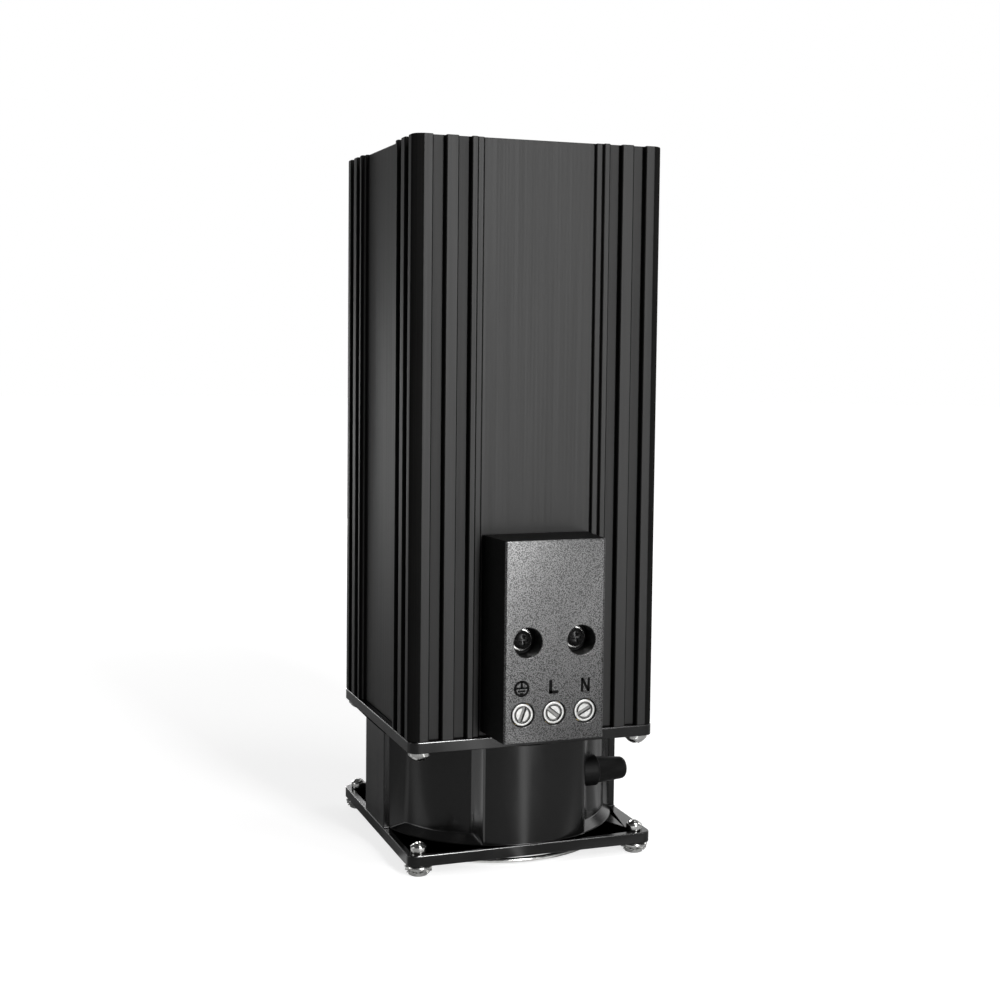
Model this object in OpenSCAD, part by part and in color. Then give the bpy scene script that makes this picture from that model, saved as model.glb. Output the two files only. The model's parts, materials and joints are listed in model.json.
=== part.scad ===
// Fan heater for an electrical enclosure. A ribbed aluminium profile holds heating stones in a
// channel in its middle, with an axial fan below it, a terminal box in front and a rail clip behind.
// The origin is on the fan's axis, in the plane that the heater stands on. The front faces -Y.

/* [Heater profile] */
// Side of the square profile and of the fan's flanges
side_w = 80; // [76:0.5:92]
// Length of the profile
profile_l = 180; // [140:5:240]
// Radius of the profile's outer corners
profile_corner_r = 3.5; // [2:0.25:5]
// Wall left behind the grooves
profile_wall = 2.2; // [1.6:0.1:3]
// Depth of the grooves and of the flat panel on each face
groove_depth = 2; // [1.2:0.1:2.6]
// Width of the rib on each corner
corner_rib_w = 6; // [5:0.1:7]
// Width of each groove
groove_w = 3.9; // [2.5:0.1:4.5]
// Width of the rib between the two grooves
middle_rib_w = 4; // [3:0.1:5]
// Width of the thin rib beside the panel
edge_rib_w = 2.1; // [1.4:0.1:2.6]
// Width of the low step beside the panel
step_w = 2.2; // [1.2:0.1:2.8]
// Depth of that step below the ribs
step_depth = 1; // [0.5:0.1:1.1]
// Distance of the corner screws from the profile's sides
screw_inset = 4.25; // [4:0.25:5]
// Radius of the boss around each corner screw
port_boss_r = 3.6; // [3:0.1:4.5]

/* [Fins and heating channel] */
// Thickness of a fin
fin_t = 1.6; // [1.2:0.1:2.2]
// Distance from fin to fin
fin_pitch = 10; // [8:0.5:12]
// Gap between a fin's edge and the wall
fin_tip_gap = 2.4; // [1.5:0.1:4]
// Thickness of the web that ties the channel to the side walls
web_t = 2; // [1.4:0.1:3]
// Width inside the heating channel
channel_w = 27; // [24:0.5:30]
// Height inside the heating channel
channel_h = 5; // [4.4:0.1:6]
// Wall of the heating channel
channel_wall = 2.2; // [1.6:0.1:3]
// Thickness of the insulating film around the heating stones
film_t = 0.25; // [0.15:0.05:0.4]
// Thickness of a contact strip
strip_t = 0.5; // [0.3:0.05:0.8]
// Gap between the strips and the film at each side
strip_side_gap = 0.5; // [0.3:0.1:1]
// Length of a heating stone
stone_l = 15; // [12:0.5:20]
// Gap between two heating stones
stone_gap = 1; // [0.5:0.1:2]
// Length of the contact strips below the leads
strip_end = 1.5; // [1:0.1:2.5]
// Length of the seal in the channel's upper end
seal_l = 6; // [4:0.5:10]
// Depth of a seal's face inside the channel
seal_inset = 1; // [0.5:0.1:2]

/* [Terminal box] */
// Height of the box
box_h = 60.2; // [54:0.2:70]
// Depth of the box in front of the profile's panel
box_depth = 17.25; // [16:0.25:24]
// Height of the box above the fan's top flange
box_lift = 1.5; // [0.5:0.1:4]
// Gap between the box and the steps beside the panel
box_side_gap = 0.65; // [0.3:0.05:1.2]
// How much narrower each side gets from the back to the front
box_draft = 1.4; // [0.5:0.1:2]
// Radius of the box's upright front edges
box_edge_r = 0.7; // [0.4:0.1:2.4]
// Wall of the box
box_wall = 1.8; // [1.4:0.1:2.2]
// Thickness of the box's front
box_front_t = 2.5; // [2:0.1:3.2]
// Distance of a cover screw from the middle of the box
cover_screw_x = 8.5; // [7:0.1:9.5]
// Height of the cover screws above the box's bottom
cover_screw_rise = 29.9; // [27:0.1:34]
// Radius of the recess around a cover screw
cover_recess_r = 4.4; // [4:0.1:5]
// Depth of that recess
cover_recess_depth = 6.4; // [5.5:0.1:8]
// Wall of the post around that recess
post_wall = 1.3; // [1:0.1:1.8]
// Radius of a cover screw's washer
cover_washer_r = 3.5; // [3.2:0.1:3.8]
// Thickness of that washer
cover_washer_t = 0.6; // [0.4:0.1:0.8]

/* [Terminals] */
// Height of the terminal screws above the box's bottom
terminal_rise = 8.5; // [8:0.1:10]
// Radius of a terminal screw's head
terminal_head_r = 3.4; // [2.6:0.1:3.6]
// How far a terminal screw's head lies below the box's front
terminal_recess = 0.3; // [0:0.05:0.6]
// Radius of a terminal screw's thread
terminal_thread_r = 1.75; // [1.25:0.25:2]
// Width of the rim around a terminal screw's face
terminal_rim_w = 0.9; // [0.6:0.1:1.2]
// Depth of a terminal screw's face below that rim
terminal_dish = 0.3; // [0.2:0.05:0.5]
// Width of a terminal screw's slot
terminal_slot_w = 0.9; // [0.6:0.1:1.2]
// Thickness of the wall between two terminals
partition_t = 1.2; // [0.8:0.1:1.6]
// Height of a terminal's cage
cage_h = 8.4; // [8:0.2:9.6]
// Depth of a terminal's cage
cage_depth = 8; // [7:0.25:10]
// Wall of a terminal's cage
cage_wall = 1.2; // [0.8:0.1:1.5]
// Radius of the wire entries in the box's bottom
entry_r = 2.3; // [1.8:0.1:2.6]
// Radius of an insulated lead
lead_r = 1.1; // [0.8:0.1:1.4]
// Length of the overheat switch
cutout_l = 17; // [14:0.5:18]
// Width of the overheat switch
cutout_w = 7.5; // [6:0.5:9]
// Thickness of the overheat switch
cutout_t = 4; // [3:0.25:6]

/* [Rail clip] */
// Width of the clip
clip_w = 30; // [24:1:34]
// Height of the clip
clip_h = 54; // [50:1:60]
// Thickness of the clip's block
clip_block_t = 10; // [7:0.5:13]
// Height of the mounting rail
rail_h = 35; // [30:0.5:38]
// Room around the rail's edges
rail_gap = 0.4; // [0.2:0.1:0.8]
// Gap behind the hooks for the rail's edge
hook_gap = 1.3; // [1:0.1:2]
// Thickness of a hook's lip
lip_t = 2.5; // [1.5:0.25:4]
// How far a hook's lip reaches over the rail
lip_reach = 1.6; // [1:0.1:2.5]
// Width of the slit that lets the lower hook spring
slit_w = 1.6; // [1:0.1:2.5]
// Thickness of the web that the lower hook springs on
spring_web = 2.6; // [2:0.1:4]
// Length of the tab below the clip
release_l = 6; // [3:0.5:9]
// Distance of the clip's screws from its middle
clip_screw_rise = 9; // [7:0.5:12]

/* [Fan frame] */
// Height of the fan
fan_h = 38; // [36:0.5:44]
// Thickness of the fan's flanges
flange_t = 3.5; // [2.5:0.25:4.5]
// Radius of the flanges' corners
flange_corner_r = 3; // [2:0.25:4]
// Radius of the holes in the flanges
flange_hole_r = 2.15; // [2:0.05:2.3]
// Radius of the fan's air passage
bore_r = 35; // [34:0.25:36]
// Wall of the barrel around the air passage
barrel_wall = 2; // [1.5:0.1:2.6]
// Half width of the curved panels in front and behind
panel_half_w = 15; // [13:0.5:18]
// How far those panels sit beside the middle
panel_shift = 1.3; // [0:0.1:2]
// Width of the slanted sides of those panels
panel_slant = 6.25; // [2:0.25:8]
// How far those panels stay inside the flanges
panel_inset = 0.3; // [0.2:0.1:0.6]
// Half width of the flat pads at the left and the right
pad_half_w = 11; // [8:0.5:14]
// How far those pads stay inside the flanges
pad_inset = 0.1; // [0:0.1:1]
// Depth of the straight sides of those pads
pad_side = 2; // [1:0.25:3]
// Width of the slanted feet of those pads
pad_slant = 6; // [4:0.25:8]
// How far the barrel widens where it meets the lower flange
flare_w = 2.4; // [1:0.1:2.6]
// Height of that widening
flare_h = 2.6; // [1.5:0.1:4]
// Depth of the flared mouth under the fan
mouth_depth = 3; // [1.5:0.25:5]
// Width of that flare
mouth_flare = 1.6; // [0.5:0.1:2.5]
// Width of the struts that carry the motor
strut_w = 3.5; // [2.5:0.25:5]
// How far the motor's base lies below the fan's top
motor_recess = 1; // [0.6:0.1:2]
// Radius of the motor's base
motor_base_r = 18.5; // [17:0.25:20]
// Thickness of the motor's base and of the struts
motor_base_t = 2.8; // [2.2:0.1:3.5]

/* [Motor] */
// Outer radius of the bearing tube
tube_r = 6; // [5.4:0.1:6.5]
// Length of the bearing tube below the motor's base
tube_l = 25.2; // [24:0.2:26]
// Outer radius of a bearing
bearing_r = 4; // [3.5:0.25:4.5]
// Width of a bearing
bearing_w = 4; // [3:0.25:5]
// Radius of the bore between the bearings
tube_bore_r = 2.6; // [2.2:0.1:3]
// Radius of the shaft
shaft_r = 1.5; // [1.25:0.05:1.75]
// Running clearance between shaft and bearing
shaft_clearance = 0.03; // [0.02:0.01:0.08]
// Thickness of the cap over the upper bearing
cap_t = 0.6; // [0.4:0.1:0.8]
// Room for the retaining ring under the cap
cap_room = 1.2; // [1:0.1:1.6]
// Thickness of the retaining ring
ring_t = 0.4; // [0.3:0.05:0.5]
// Radius of the retaining ring
ring_r = 2.6; // [2.3:0.1:3]
// Height of the stator's core
stator_h = 16; // [12:0.5:18]
// Distance of the stator's core from the motor's base
stator_drop = 6.2; // [5:0.1:8]
// Radius of the stator's yoke
yoke_r = 8.2; // [7.6:0.1:8.6]
// Width of a stator pole
pole_w = 3; // [2.4:0.1:3.6]
// Thickness of a pole's shoe
shoe_t = 1.4; // [1:0.1:1.8]
// Half angle of a pole's shoe
shoe_angle = 32; // [24:1:38]
// Air gap between stator and rotor
air_gap = 0.6; // [0.4:0.1:0.8]
// Thickness of the windings around a pole
coil_t = 2.4; // [1.6:0.1:2.8]
// Thickness of the rotor's steel ring
rotor_ring_t = 1.25; // [0.8:0.05:1.5]

/* [Impeller] */
// Radius of the hub
hub_r = 17.5; // [17:0.1:19]
// Wall of the hub
hub_wall = 1.2; // [1:0.1:1.5]
// Thickness of the hub's closed face
hub_face_t = 1.4; // [1.2:0.1:2]
// Height of the hub's face above the fan's underside
hub_inset = 2.5; // [2:0.1:4]
// Bevel around the hub's face
hub_bevel = 1.1; // [0.6:0.1:1.3]
// Radius of the boss that holds the shaft
boss_r = 3.4; // [3:0.1:4]
// Gap between the boss and the lower bearing
boss_gap = 0.3; // [0.2:0.05:0.6]
// Gap between the hub's rim and the motor's base
rim_gap = 1.5; // [1:0.1:3]
// Number of blades
blade_count = 7; // [5:1:9]
// Height of a blade
blade_h = 22; // [16:0.5:24]
// Distance of the blades' lower edges from the hub's face
blade_rise = 3; // [2:0.25:4]
// How far a blade runs around the hub
blade_run = 20; // [14:0.5:22]
// Thickness of a blade
blade_t = 1.4; // [1:0.1:2]
// Radius of a blade's curve
blade_curve_r = 40; // [34:1:60]
// Gap between the blades' tips and the air passage
tip_gap = 0.8; // [0.5:0.1:1.5]

/* [Finger guard and feet] */
// Diameter of the wire of the guard's loops
loop_wire_d = 1.7; // [1.4:0.1:2]
// Diameter of the wire of the guard's arms
arm_wire_d = 1.5; // [1.2:0.1:1.6]
// Diameter of the wire of the guard's rings
ring_wire_d = 1.5; // [1.2:0.1:1.8]
// How deep the rings and arms are welded into each other
weld_depth = 0.3; // [0.2:0.05:0.4]
// Radius of the guard's largest ring
guard_r = 37; // [35:0.25:38]
// Distance from ring to ring
guard_pitch = 9; // [7:0.5:10]
// Number of rings
guard_rings = 4; // [3:1:4]
// Radius of a loop, to the middle of its wire
loop_r = 3.4; // [3:0.1:3.8]
// Width of a nut across its flats
nut_w = 5.5; // [5:0.1:6]
// Height of a nut
nut_h = 1.2; // [1:0.1:2.4]
// Radius of a toothed washer
washer_r = 4.1; // [3.3:0.1:4.4]
// Thickness of a toothed washer
washer_t = 0.5; // [0.4:0.1:0.8]
// Length of a washer's teeth
washer_tooth_l = 0.9; // [0.6:0.1:1.2]
// Number of teeth on a toothed washer
washer_teeth = 10; // [8:1:14]

/* [Screws] */
// Radius of the small screws' thread
small_thread_r = 1.5; // [1.25:0.05:1.6]
// Radius of the small screws' heads
small_head_r = 2.8; // [2.5:0.1:3.1]
// Height of the small screws' heads
small_head_h = 2; // [1.6:0.1:2.4]
// Radius of the guard screws' heads
guard_head_r = 2.5; // [2.2:0.1:3.1]
// Height of the guard screws' heads
guard_head_h = 3; // [2:0.1:3.4]
// Radius of the corner screws' thread
corner_thread_r = 1.75; // [1.5:0.05:1.9]
// Radius of the corner screws' heads
corner_head_r = 3.5; // [3:0.1:3.8]
// Height of the corner screws' heads
corner_head_h = 3.2; // [1.8:0.1:3.6]
// Length of the corner screws inside the profile
corner_bite = 9; // [6:0.5:14]
// Width of the cross recess in the screws' heads
cross_w = 0.7; // [0.5:0.1:0.9]
// Length of the cross recess
cross_l = 3; // [2.4:0.1:3.4]
// Depth of the cross recess
cross_depth = 1.1; // [0.8:0.1:1.3]

/* [Lead sleeve] */
// Height of the sleeve above the fan's underside
sleeve_rise = 21.5; // [16:0.25:24]
// Distance of the sleeve in front of the fan's axis
sleeve_y = 28; // [27:0.25:29]
// Distance of the sleeve's end from the fan's axis
sleeve_reach = 35.5; // [33:0.5:40]
// Radius of the sleeve at its end
sleeve_end_r = 3.4; // [2.6:0.1:3.6]
// Bevel around the sleeve's end
sleeve_tip = 1.2; // [0.5:0.1:1.5]
// Radius of the sleeve at its collar
sleeve_root_r = 3.9; // [3.5:0.1:4.1]
// Radius of the sleeve's collar
sleeve_collar_r = 4.9; // [4.2:0.1:5.2]
// Length of the collar on the sleeve
sleeve_collar_l = 1; // [0.5:0.25:5]
// Radius of the lead's hole in the fan's barrel
sleeve_hole_r = 2.2; // [1.6:0.1:2.6]

/* [Fits] */
// Gap between round pieces that sit in each other
seat_gap = 0.02; // [0.01:0.01:0.05]
// Gap around leads, washers and screws that pass through a hole
pass_gap = 0.2; // [0.1:0.05:0.3]
// Gap beside the terminal cages and around the windings
side_gap = 0.15; // [0.1:0.05:0.3]

/* [Hidden] */
$fn = 64;
// Overlap that lets a cutting shape run past a face
over = 1;
// Share of a pan head's height that is domed
dome_share = 0.55;
// Steps along a rounded edge
edge_steps = 6;
half_w = side_w / 2;
corner_at = half_w - screw_inset;
panel_at = half_w - groove_depth;
panel_w = side_w - 2 * (corner_rib_w + 2 * groove_w + middle_rib_w + edge_rib_w + step_w);
inner_w = 2 * (panel_at - profile_wall);
inner_at = inner_w / 2;

// Levels from the standing plane up
fan_z = nut_h + washer_t + loop_wire_d;
fan_top = fan_z + fan_h;
lower_flange_top = fan_z + flange_t;
upper_flange_z = fan_top - flange_t;
profile_z = fan_top;
profile_top = profile_z + profile_l;

// Heating channel
stone_t = channel_h - 2 * (film_t + strip_t);
strip_w = channel_w - 2 * (film_t + strip_side_gap);
stone_w = strip_w - 2 * strip_t;
stack_top = profile_top - seal_inset - seal_l;

// Terminal box
box_z = profile_z + box_lift;
box_top = box_z + box_h;
box_w = panel_w - 2 * box_side_gap;
box_front = panel_at + box_depth;
draft_angle = atan(box_draft / box_depth);
box_inner_w = box_w - 2 * box_wall / cos(draft_angle);
box_inner_depth = box_depth - box_front_t;
box_inner_front_w = box_inner_w - 2 * box_inner_depth * tan(draft_angle);
bay_w = (box_inner_front_w - 2 * partition_t) / 3;
terminal_pitch = bay_w + partition_t;
terminal_z = box_z + terminal_rise;
terminal_slots = [70, -38, 28];
cage_front = box_front - box_front_t;
cage_back = cage_front - cage_depth;
cage_w = bay_w - 2 * side_gap;
entry_at = (cage_front + cage_back) / 2;
cover_screw_z = box_z + cover_screw_rise;
cover_seat = box_front - cover_recess_depth;
post_r = cover_recess_r + post_wall;
cutout_z = (cover_screw_z + post_r + box_top - box_wall) / 2;

// Heating stones hang above the lead of the rear strip
lead_xs = [0, terminal_pitch];
lead_room_r = lead_r + 2 * pass_gap;
stack_z = terminal_z - lead_room_r - strip_end;
stone_z = terminal_z + lead_room_r;
stone_count = floor((stack_top - stone_z + stone_gap) / (stone_l + stone_gap));

// Rail clip
clip_z = profile_z + profile_l / 2;
hook_z = rail_h / 2 + rail_gap;
hook_out = clip_block_t + hook_gap + lip_t;
clip_head_depth = small_head_h + pass_gap;

// Motor, from the base of the motor down to the hub's face
motor_top = fan_top - motor_recess;
motor_base_z = motor_top - motor_base_t;
tube_z = motor_base_z - tube_l;
upper_bearing_z = motor_top - cap_t - cap_room - bearing_w;
ring_z = upper_bearing_z + bearing_w + (cap_room - ring_t) / 4;
shaft_top = ring_z + 2 * ring_t;
cap_r = bearing_r + 2 * cap_t;
bearing_bore_r = shaft_r + shaft_clearance;
stator_z = motor_base_z - stator_drop - stator_h;
hub_z = fan_z + hub_inset;
hub_top = motor_base_z - rim_gap;
hub_inner_r = hub_r - hub_wall;
rotor_ring_r = hub_inner_r - seat_gap;
stator_r = rotor_ring_r - rotor_ring_t - air_gap;
coil_half_w = pole_w / 2 + side_gap + coil_t;
coil_out_r = sqrt(pow(stator_r - shoe_t, 2) - coil_half_w * coil_half_w) - side_gap;
coil_in_r = yoke_r + side_gap;
boss_top = tube_z - boss_gap;
tip_r = bore_r - tip_gap;
blade_z = hub_z + blade_rise;
root_sink = hub_wall / 3;
barrel_r = bore_r + barrel_wall;
flare_r = min(barrel_r + flare_w, half_w - panel_inset);

// Guard, hung from the lower flange
arm_z = fan_z - loop_wire_d / 2;
guard_ring_z = arm_z - arm_wire_d / 2 - ring_wire_d / 2 + weld_depth;
inner_ring_r = guard_r - (guard_rings - 1) * guard_pitch;
loop_at = corner_at * sqrt(2);
sleeve_z = fan_z + sleeve_rise;

// Radius of the ball that rounds a pan head of radius r and height h
function dome_r(r, h) = let (rise = h * dome_share) (r * r + rise * rise) / (2 * rise);

// Outline of a box that narrows from the back to the front by the draft angle, with round front edges
function drafted_outline(w, depth, r) =
    let (
        middle_x = w / 2 - (depth - r) * tan(draft_angle) - r / cos(draft_angle),
        right = [
            for (i = [0:edge_steps])
            let (a = draft_angle + (90 - draft_angle) * i / edge_steps)
            [middle_x + r * cos(a), -(depth - r + r * sin(a))]
        ],
        left = [for (i = [edge_steps:-1:0]) [-right[i][0], right[i][1]]]
    )
    concat([[w / 2, 0]], right, left, [[-w / 2, 0]]);

module at_corners(at) {
    for (x = [-at, at], y = [-at, at])
        translate([x, y, 0])
            children();
}

module rounded_square(w, r) {
    square([w, w - 2 * r], center = true);
    square([w - 2 * r, w], center = true);
    at_corners(w / 2 - r)
        circle(r);
}

// A bar in plan, from x0 to x1 and in from the front face by a depth
module face_cut(x0, x1, depth) {
    translate([x0, -half_w - over])
        square([x1 - x0, depth + over]);
}

// Cylinder that points to the front, from a distance behind to a distance in front of the axis
module front_cylinder(r, back, front) {
    translate([0, -back, 0])
        rotate([90, 0, 0])
            cylinder(r = r, h = front - back);
}

module pan_screw(head_r, head_h, thread_r, thread_l) {
    ball_r = dome_r(head_r, head_h);
    difference() {
        intersection() {
            cylinder(r = head_r, h = head_h);
            translate([0, 0, head_h - ball_r])
                sphere(ball_r);
        }
        for (a = [0, 90])
            rotate(a)
                translate([-cross_l / 2, -cross_w / 2, head_h - cross_depth])
                    cube([cross_l, cross_w, cross_depth + over]);
    }
    translate([0, 0, -thread_l])
        cylinder(r = thread_r, h = thread_l + (head_h - cross_depth) / 2);
}

// Heater profile with its ribs, fins, channel and screw ports
module profile_outline() {
    groove_1 = half_w - corner_rib_w;
    groove_2 = groove_1 - groove_w - middle_rib_w;
    difference() {
        rounded_square(side_w, profile_corner_r);
        for (turn = [0:90:270])
            rotate(turn) {
                for (x = [groove_1, groove_2]) {
                    face_cut(x - groove_w, x, groove_depth);
                    face_cut(-x, groove_w - x, groove_depth);
                }
                face_cut(-panel_w / 2, panel_w / 2, groove_depth);
                face_cut(-panel_w / 2 - step_w, panel_w / 2 + step_w, step_depth);
            }
    }
}

module fins() {
    last = floor((inner_at - port_boss_r - fin_pitch / 2) / fin_pitch);
    square([inner_w + over, web_t], center = true);
    square([channel_w + 2 * channel_wall, channel_h + 2 * channel_wall], center = true);
    for (i = [0:last], side = [-1, 1])
        translate([side * (i + 0.5) * fin_pitch, 0])
            square([fin_t, inner_w - 2 * fin_tip_gap], center = true);
}

module profile_section() {
    difference() {
        profile_outline();
        difference() {
            square(inner_w, center = true);
            fins();
            at_corners(corner_at)
                circle(port_boss_r);
        }
        square([channel_w, channel_h], center = true);
        at_corners(corner_at)
            circle(corner_thread_r + seat_gap);
    }
}

module heater_profile() {
    color("#26272a")
        difference() {
            translate([0, 0, profile_z])
                linear_extrude(profile_l)
                    profile_section();
            for (x = lead_xs)
                translate([x, 0, terminal_z])
                    front_cylinder(lead_r + pass_gap, 0, half_w + over);
            for (x = [-cover_screw_x, cover_screw_x])
                translate([x, 0, cover_screw_z])
                    front_cylinder(small_thread_r + seat_gap, inner_at - over, half_w + over);
            for (z = [-clip_screw_rise, clip_screw_rise])
                translate([0, 0, clip_z + z])
                    front_cylinder(small_thread_r + seat_gap, -half_w - over, over - inner_at);
        }
}

// What lies inside the heating channel
module ptc_stones() {
    color("#5b5a58")
        for (i = [0:stone_count - 1])
            translate([-stone_w / 2, -stone_t / 2, stone_z + i * (stone_l + stone_gap)])
                cube([stone_w, stone_t, stone_l]);
}

module contact_strip_live() {
    color("#b9a468")
        difference() {
            translate([-strip_w / 2, -stone_t / 2 - strip_t, stack_z])
                cube([strip_w, strip_t, stack_top - stack_z]);
            translate([lead_xs[1] - lead_room_r, -channel_h, stack_z - over])
                cube([strip_w, channel_h, stone_z - stack_z + over]);
        }
}

module contact_strip_neutral() {
    color("#b9a468")
        translate([-strip_w / 2, stone_t / 2, stack_z])
            cube([strip_w, strip_t, stack_top - stack_z]);
}

module insulation_film() {
    color("#c07a25")
        difference() {
            translate([0, 0, stack_z])
                linear_extrude(stack_top - stack_z)
                    difference() {
                        square([channel_w, channel_h], center = true);
                        square([channel_w - 2 * film_t, channel_h - 2 * film_t], center = true);
                    }
            for (x = lead_xs)
                translate([x, 0, terminal_z])
                    front_cylinder(lead_r + pass_gap, 0, channel_h);
        }
}

module channel_seals() {
    low_z = profile_z + seal_inset;
    color("#8d3a2c") {
        translate([-channel_w / 2, -channel_h / 2, low_z])
            cube([channel_w, channel_h, stack_z - low_z]);
        translate([-channel_w / 2, -channel_h / 2, stack_top])
            cube([channel_w, channel_h, seal_l]);
    }
}

// Leads from the two strips to their terminals, and from the panel to the earth terminal
module heater_leads() {
    lead_ends = [stone_t / 2 + strip_t, -stone_t / 2, panel_at];
    lead_places = [lead_xs[0], lead_xs[1], -terminal_pitch];
    color("#a8261f")
        for (i = [0:2])
            translate([lead_places[i], 0, terminal_z])
                front_cylinder(lead_r, lead_ends[i], cage_back);
}

// Terminal box
module box_outline(w, depth, r) {
    translate([0, -panel_at])
        polygon(drafted_outline(w, depth, r));
}

module box_shell() {
    inner_r = max(box_edge_r - box_wall, box_edge_r / 4);
    difference() {
        translate([0, 0, box_z])
            linear_extrude(box_h)
                box_outline(box_w, box_depth, box_edge_r);
        translate([0, over, box_z + box_wall])
            linear_extrude(box_h - 2 * box_wall)
                box_outline(box_inner_w + 2 * over * tan(draft_angle), box_inner_depth + over, inner_r);
    }
}

// Posts and walls inside the box, kept within its outline
module box_inside() {
    wall_h = terminal_rise + cage_h / 2;
    intersection() {
        translate([0, 0, box_z])
            linear_extrude(box_h)
                box_outline(box_w, box_depth, box_edge_r);
        union() {
            for (x = [-cover_screw_x, cover_screw_x])
                translate([x, 0, cover_screw_z])
                    front_cylinder(post_r, panel_at, box_front - box_front_t / 2);
            for (x = [-terminal_pitch / 2, terminal_pitch / 2])
                translate([x - partition_t / 2, -cage_front - box_front_t / 2, box_z + box_wall / 2])
                    cube([partition_t, cage_depth + box_front_t / 2, wall_h]);
        }
    }
}

module terminal_housing() {
    color("#2b2b2d")
        difference() {
            union() {
                box_shell();
                box_inside();
            }
            for (x = [-cover_screw_x, cover_screw_x])
                translate([x, 0, cover_screw_z]) {
                    front_cylinder(cover_recess_r, cover_seat, box_front + over);
                    front_cylinder(small_thread_r + pass_gap, panel_at - over, box_front);
                }
            for (x = [-terminal_pitch, 0, terminal_pitch]) {
                translate([x, 0, terminal_z])
                    front_cylinder(terminal_head_r + pass_gap, cage_front - over / 2, box_front + over);
                translate([x, -entry_at, box_z - over])
                    cylinder(r = entry_r, h = box_wall + 2 * over);
            }
        }
}

module terminal_cages() {
    color("#b08d3c")
        for (x = [-terminal_pitch, 0, terminal_pitch])
            translate([x, -cage_front, terminal_z])
                difference() {
                    translate([-cage_w / 2, 0, -cage_h / 2])
                        cube([cage_w, cage_depth, cage_h]);
                    translate([cage_wall - cage_w / 2, cage_wall, -cage_h / 2 - over])
                        cube([cage_w - 2 * cage_wall, cage_depth - 2 * cage_wall, cage_h + 2 * over]);
                    translate([0, cage_wall + over, 0])
                        rotate([90, 0, 0])
                            cylinder(r = terminal_thread_r + seat_gap, h = cage_wall + 2 * over);
                }
}

// Slotted screws with a raised rim around the slot
module terminal_screws() {
    head_h = box_front_t - terminal_recess;
    face_r = terminal_head_r - terminal_rim_w;
    color("#d5d6d2")
        for (i = [0:2])
            translate([(i - 1) * terminal_pitch, -cage_front, terminal_z])
                rotate([90, 0, 0])
                    difference() {
                        union() {
                            cylinder(r = terminal_head_r, h = head_h);
                            translate([0, 0, -cage_wall])
                                cylinder(r = terminal_thread_r, h = cage_wall + head_h / 4);
                        }
                        translate([0, 0, head_h - terminal_dish])
                            cylinder(r = face_r, h = terminal_dish + over);
                        rotate(terminal_slots[i])
                            translate([-face_r, -terminal_slot_w / 2, head_h / 2])
                                cube([2 * face_r, terminal_slot_w, head_h]);
                    }
}

module cover_screws() {
    under_head = cover_seat + cover_washer_t;
    color("#2a2a2c")
        for (x = [-cover_screw_x, cover_screw_x])
            translate([x, -under_head, cover_screw_z])
                rotate([90, 0, 0])
                    pan_screw(small_head_r, small_head_h, small_thread_r, under_head - inner_at);
}

module cover_washers() {
    color("#c9cac8")
        for (x = [-cover_screw_x, cover_screw_x])
            translate([x, 0, cover_screw_z])
                difference() {
                    front_cylinder(cover_washer_r, cover_seat, cover_seat + cover_washer_t);
                    front_cylinder(small_thread_r + pass_gap, panel_at, box_front);
                }
}

module overheat_switch() {
    color("#3b3d41")
        translate([-cutout_w / 2, -panel_at - cutout_t, cutout_z - cutout_l / 2])
            cube([cutout_w, cutout_t, cutout_l]);
}

// Rail clip in section, from the panel backwards and from its middle up
module clip_section() {
    difference() {
        union() {
            translate([0, -clip_h / 2])
                square([clip_block_t, clip_h]);
            translate([0, hook_z])
                square([hook_out, clip_h / 2 - hook_z]);
            translate([hook_out - lip_t, hook_z - lip_reach])
                square([lip_t, clip_h / 2 - hook_z + lip_reach]);
            translate([0, -clip_h / 2])
                square([hook_out, clip_h / 2 - hook_z]);
            translate([hook_out - lip_t, -clip_h / 2])
                square([lip_t, clip_h / 2 - hook_z + lip_reach]);
            translate([0, -clip_h / 2 - release_l])
                square([spring_web, release_l + over]);
        }
        translate([spring_web, -hook_z])
            square([clip_block_t, slit_w]);
    }
}

module rail_clip() {
    color("#202124")
        difference() {
            translate([-clip_w / 2, panel_at, clip_z])
                rotate([90, 0, 90])
                    linear_extrude(clip_w)
                        clip_section();
            for (z = [-clip_screw_rise, clip_screw_rise])
                translate([0, 0, clip_z + z]) {
                    front_cylinder(small_thread_r + pass_gap, -panel_at - clip_block_t, over - panel_at);
                    front_cylinder(
                        small_head_r + pass_gap,
                        -panel_at - clip_block_t - over,
                        clip_head_depth - panel_at - clip_block_t
                    );
                }
        }
}

module rail_clip_screws() {
    seat = panel_at + clip_block_t - clip_head_depth;
    color("#b9bab8")
        for (z = [-clip_screw_rise, clip_screw_rise])
            translate([0, seat, clip_z + z])
                rotate([-90, 0, 0])
                    pan_screw(small_head_r, small_head_h, small_thread_r, seat - inner_at);
}

// Fan frame in plan: a round barrel, thickened to curved panels and to flat pads with slanted feet
module barrel_outline() {
    pad_at = half_w - pad_inset;
    foot_at = pad_at - pad_side;
    circle(barrel_r);
    for (turn = [0, 180])
        rotate(turn) {
            intersection() {
                circle(half_w - panel_inset);
                translate([panel_shift, 0])
                    polygon([
                        [-panel_half_w, -half_w],
                        [panel_half_w, -half_w],
                        [panel_half_w + panel_slant, -bore_r + panel_half_w / 2],
                        [-panel_half_w - panel_slant, -bore_r + panel_half_w / 2]
                    ]);
            }
            polygon([
                [pad_at, -pad_half_w],
                [pad_at, pad_half_w],
                [foot_at, pad_half_w],
                [foot_at - pad_slant, pad_half_w + pad_slant],
                [foot_at - pad_slant, -pad_half_w - pad_slant],
                [foot_at, -pad_half_w]
            ]);
        }
}

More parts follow.
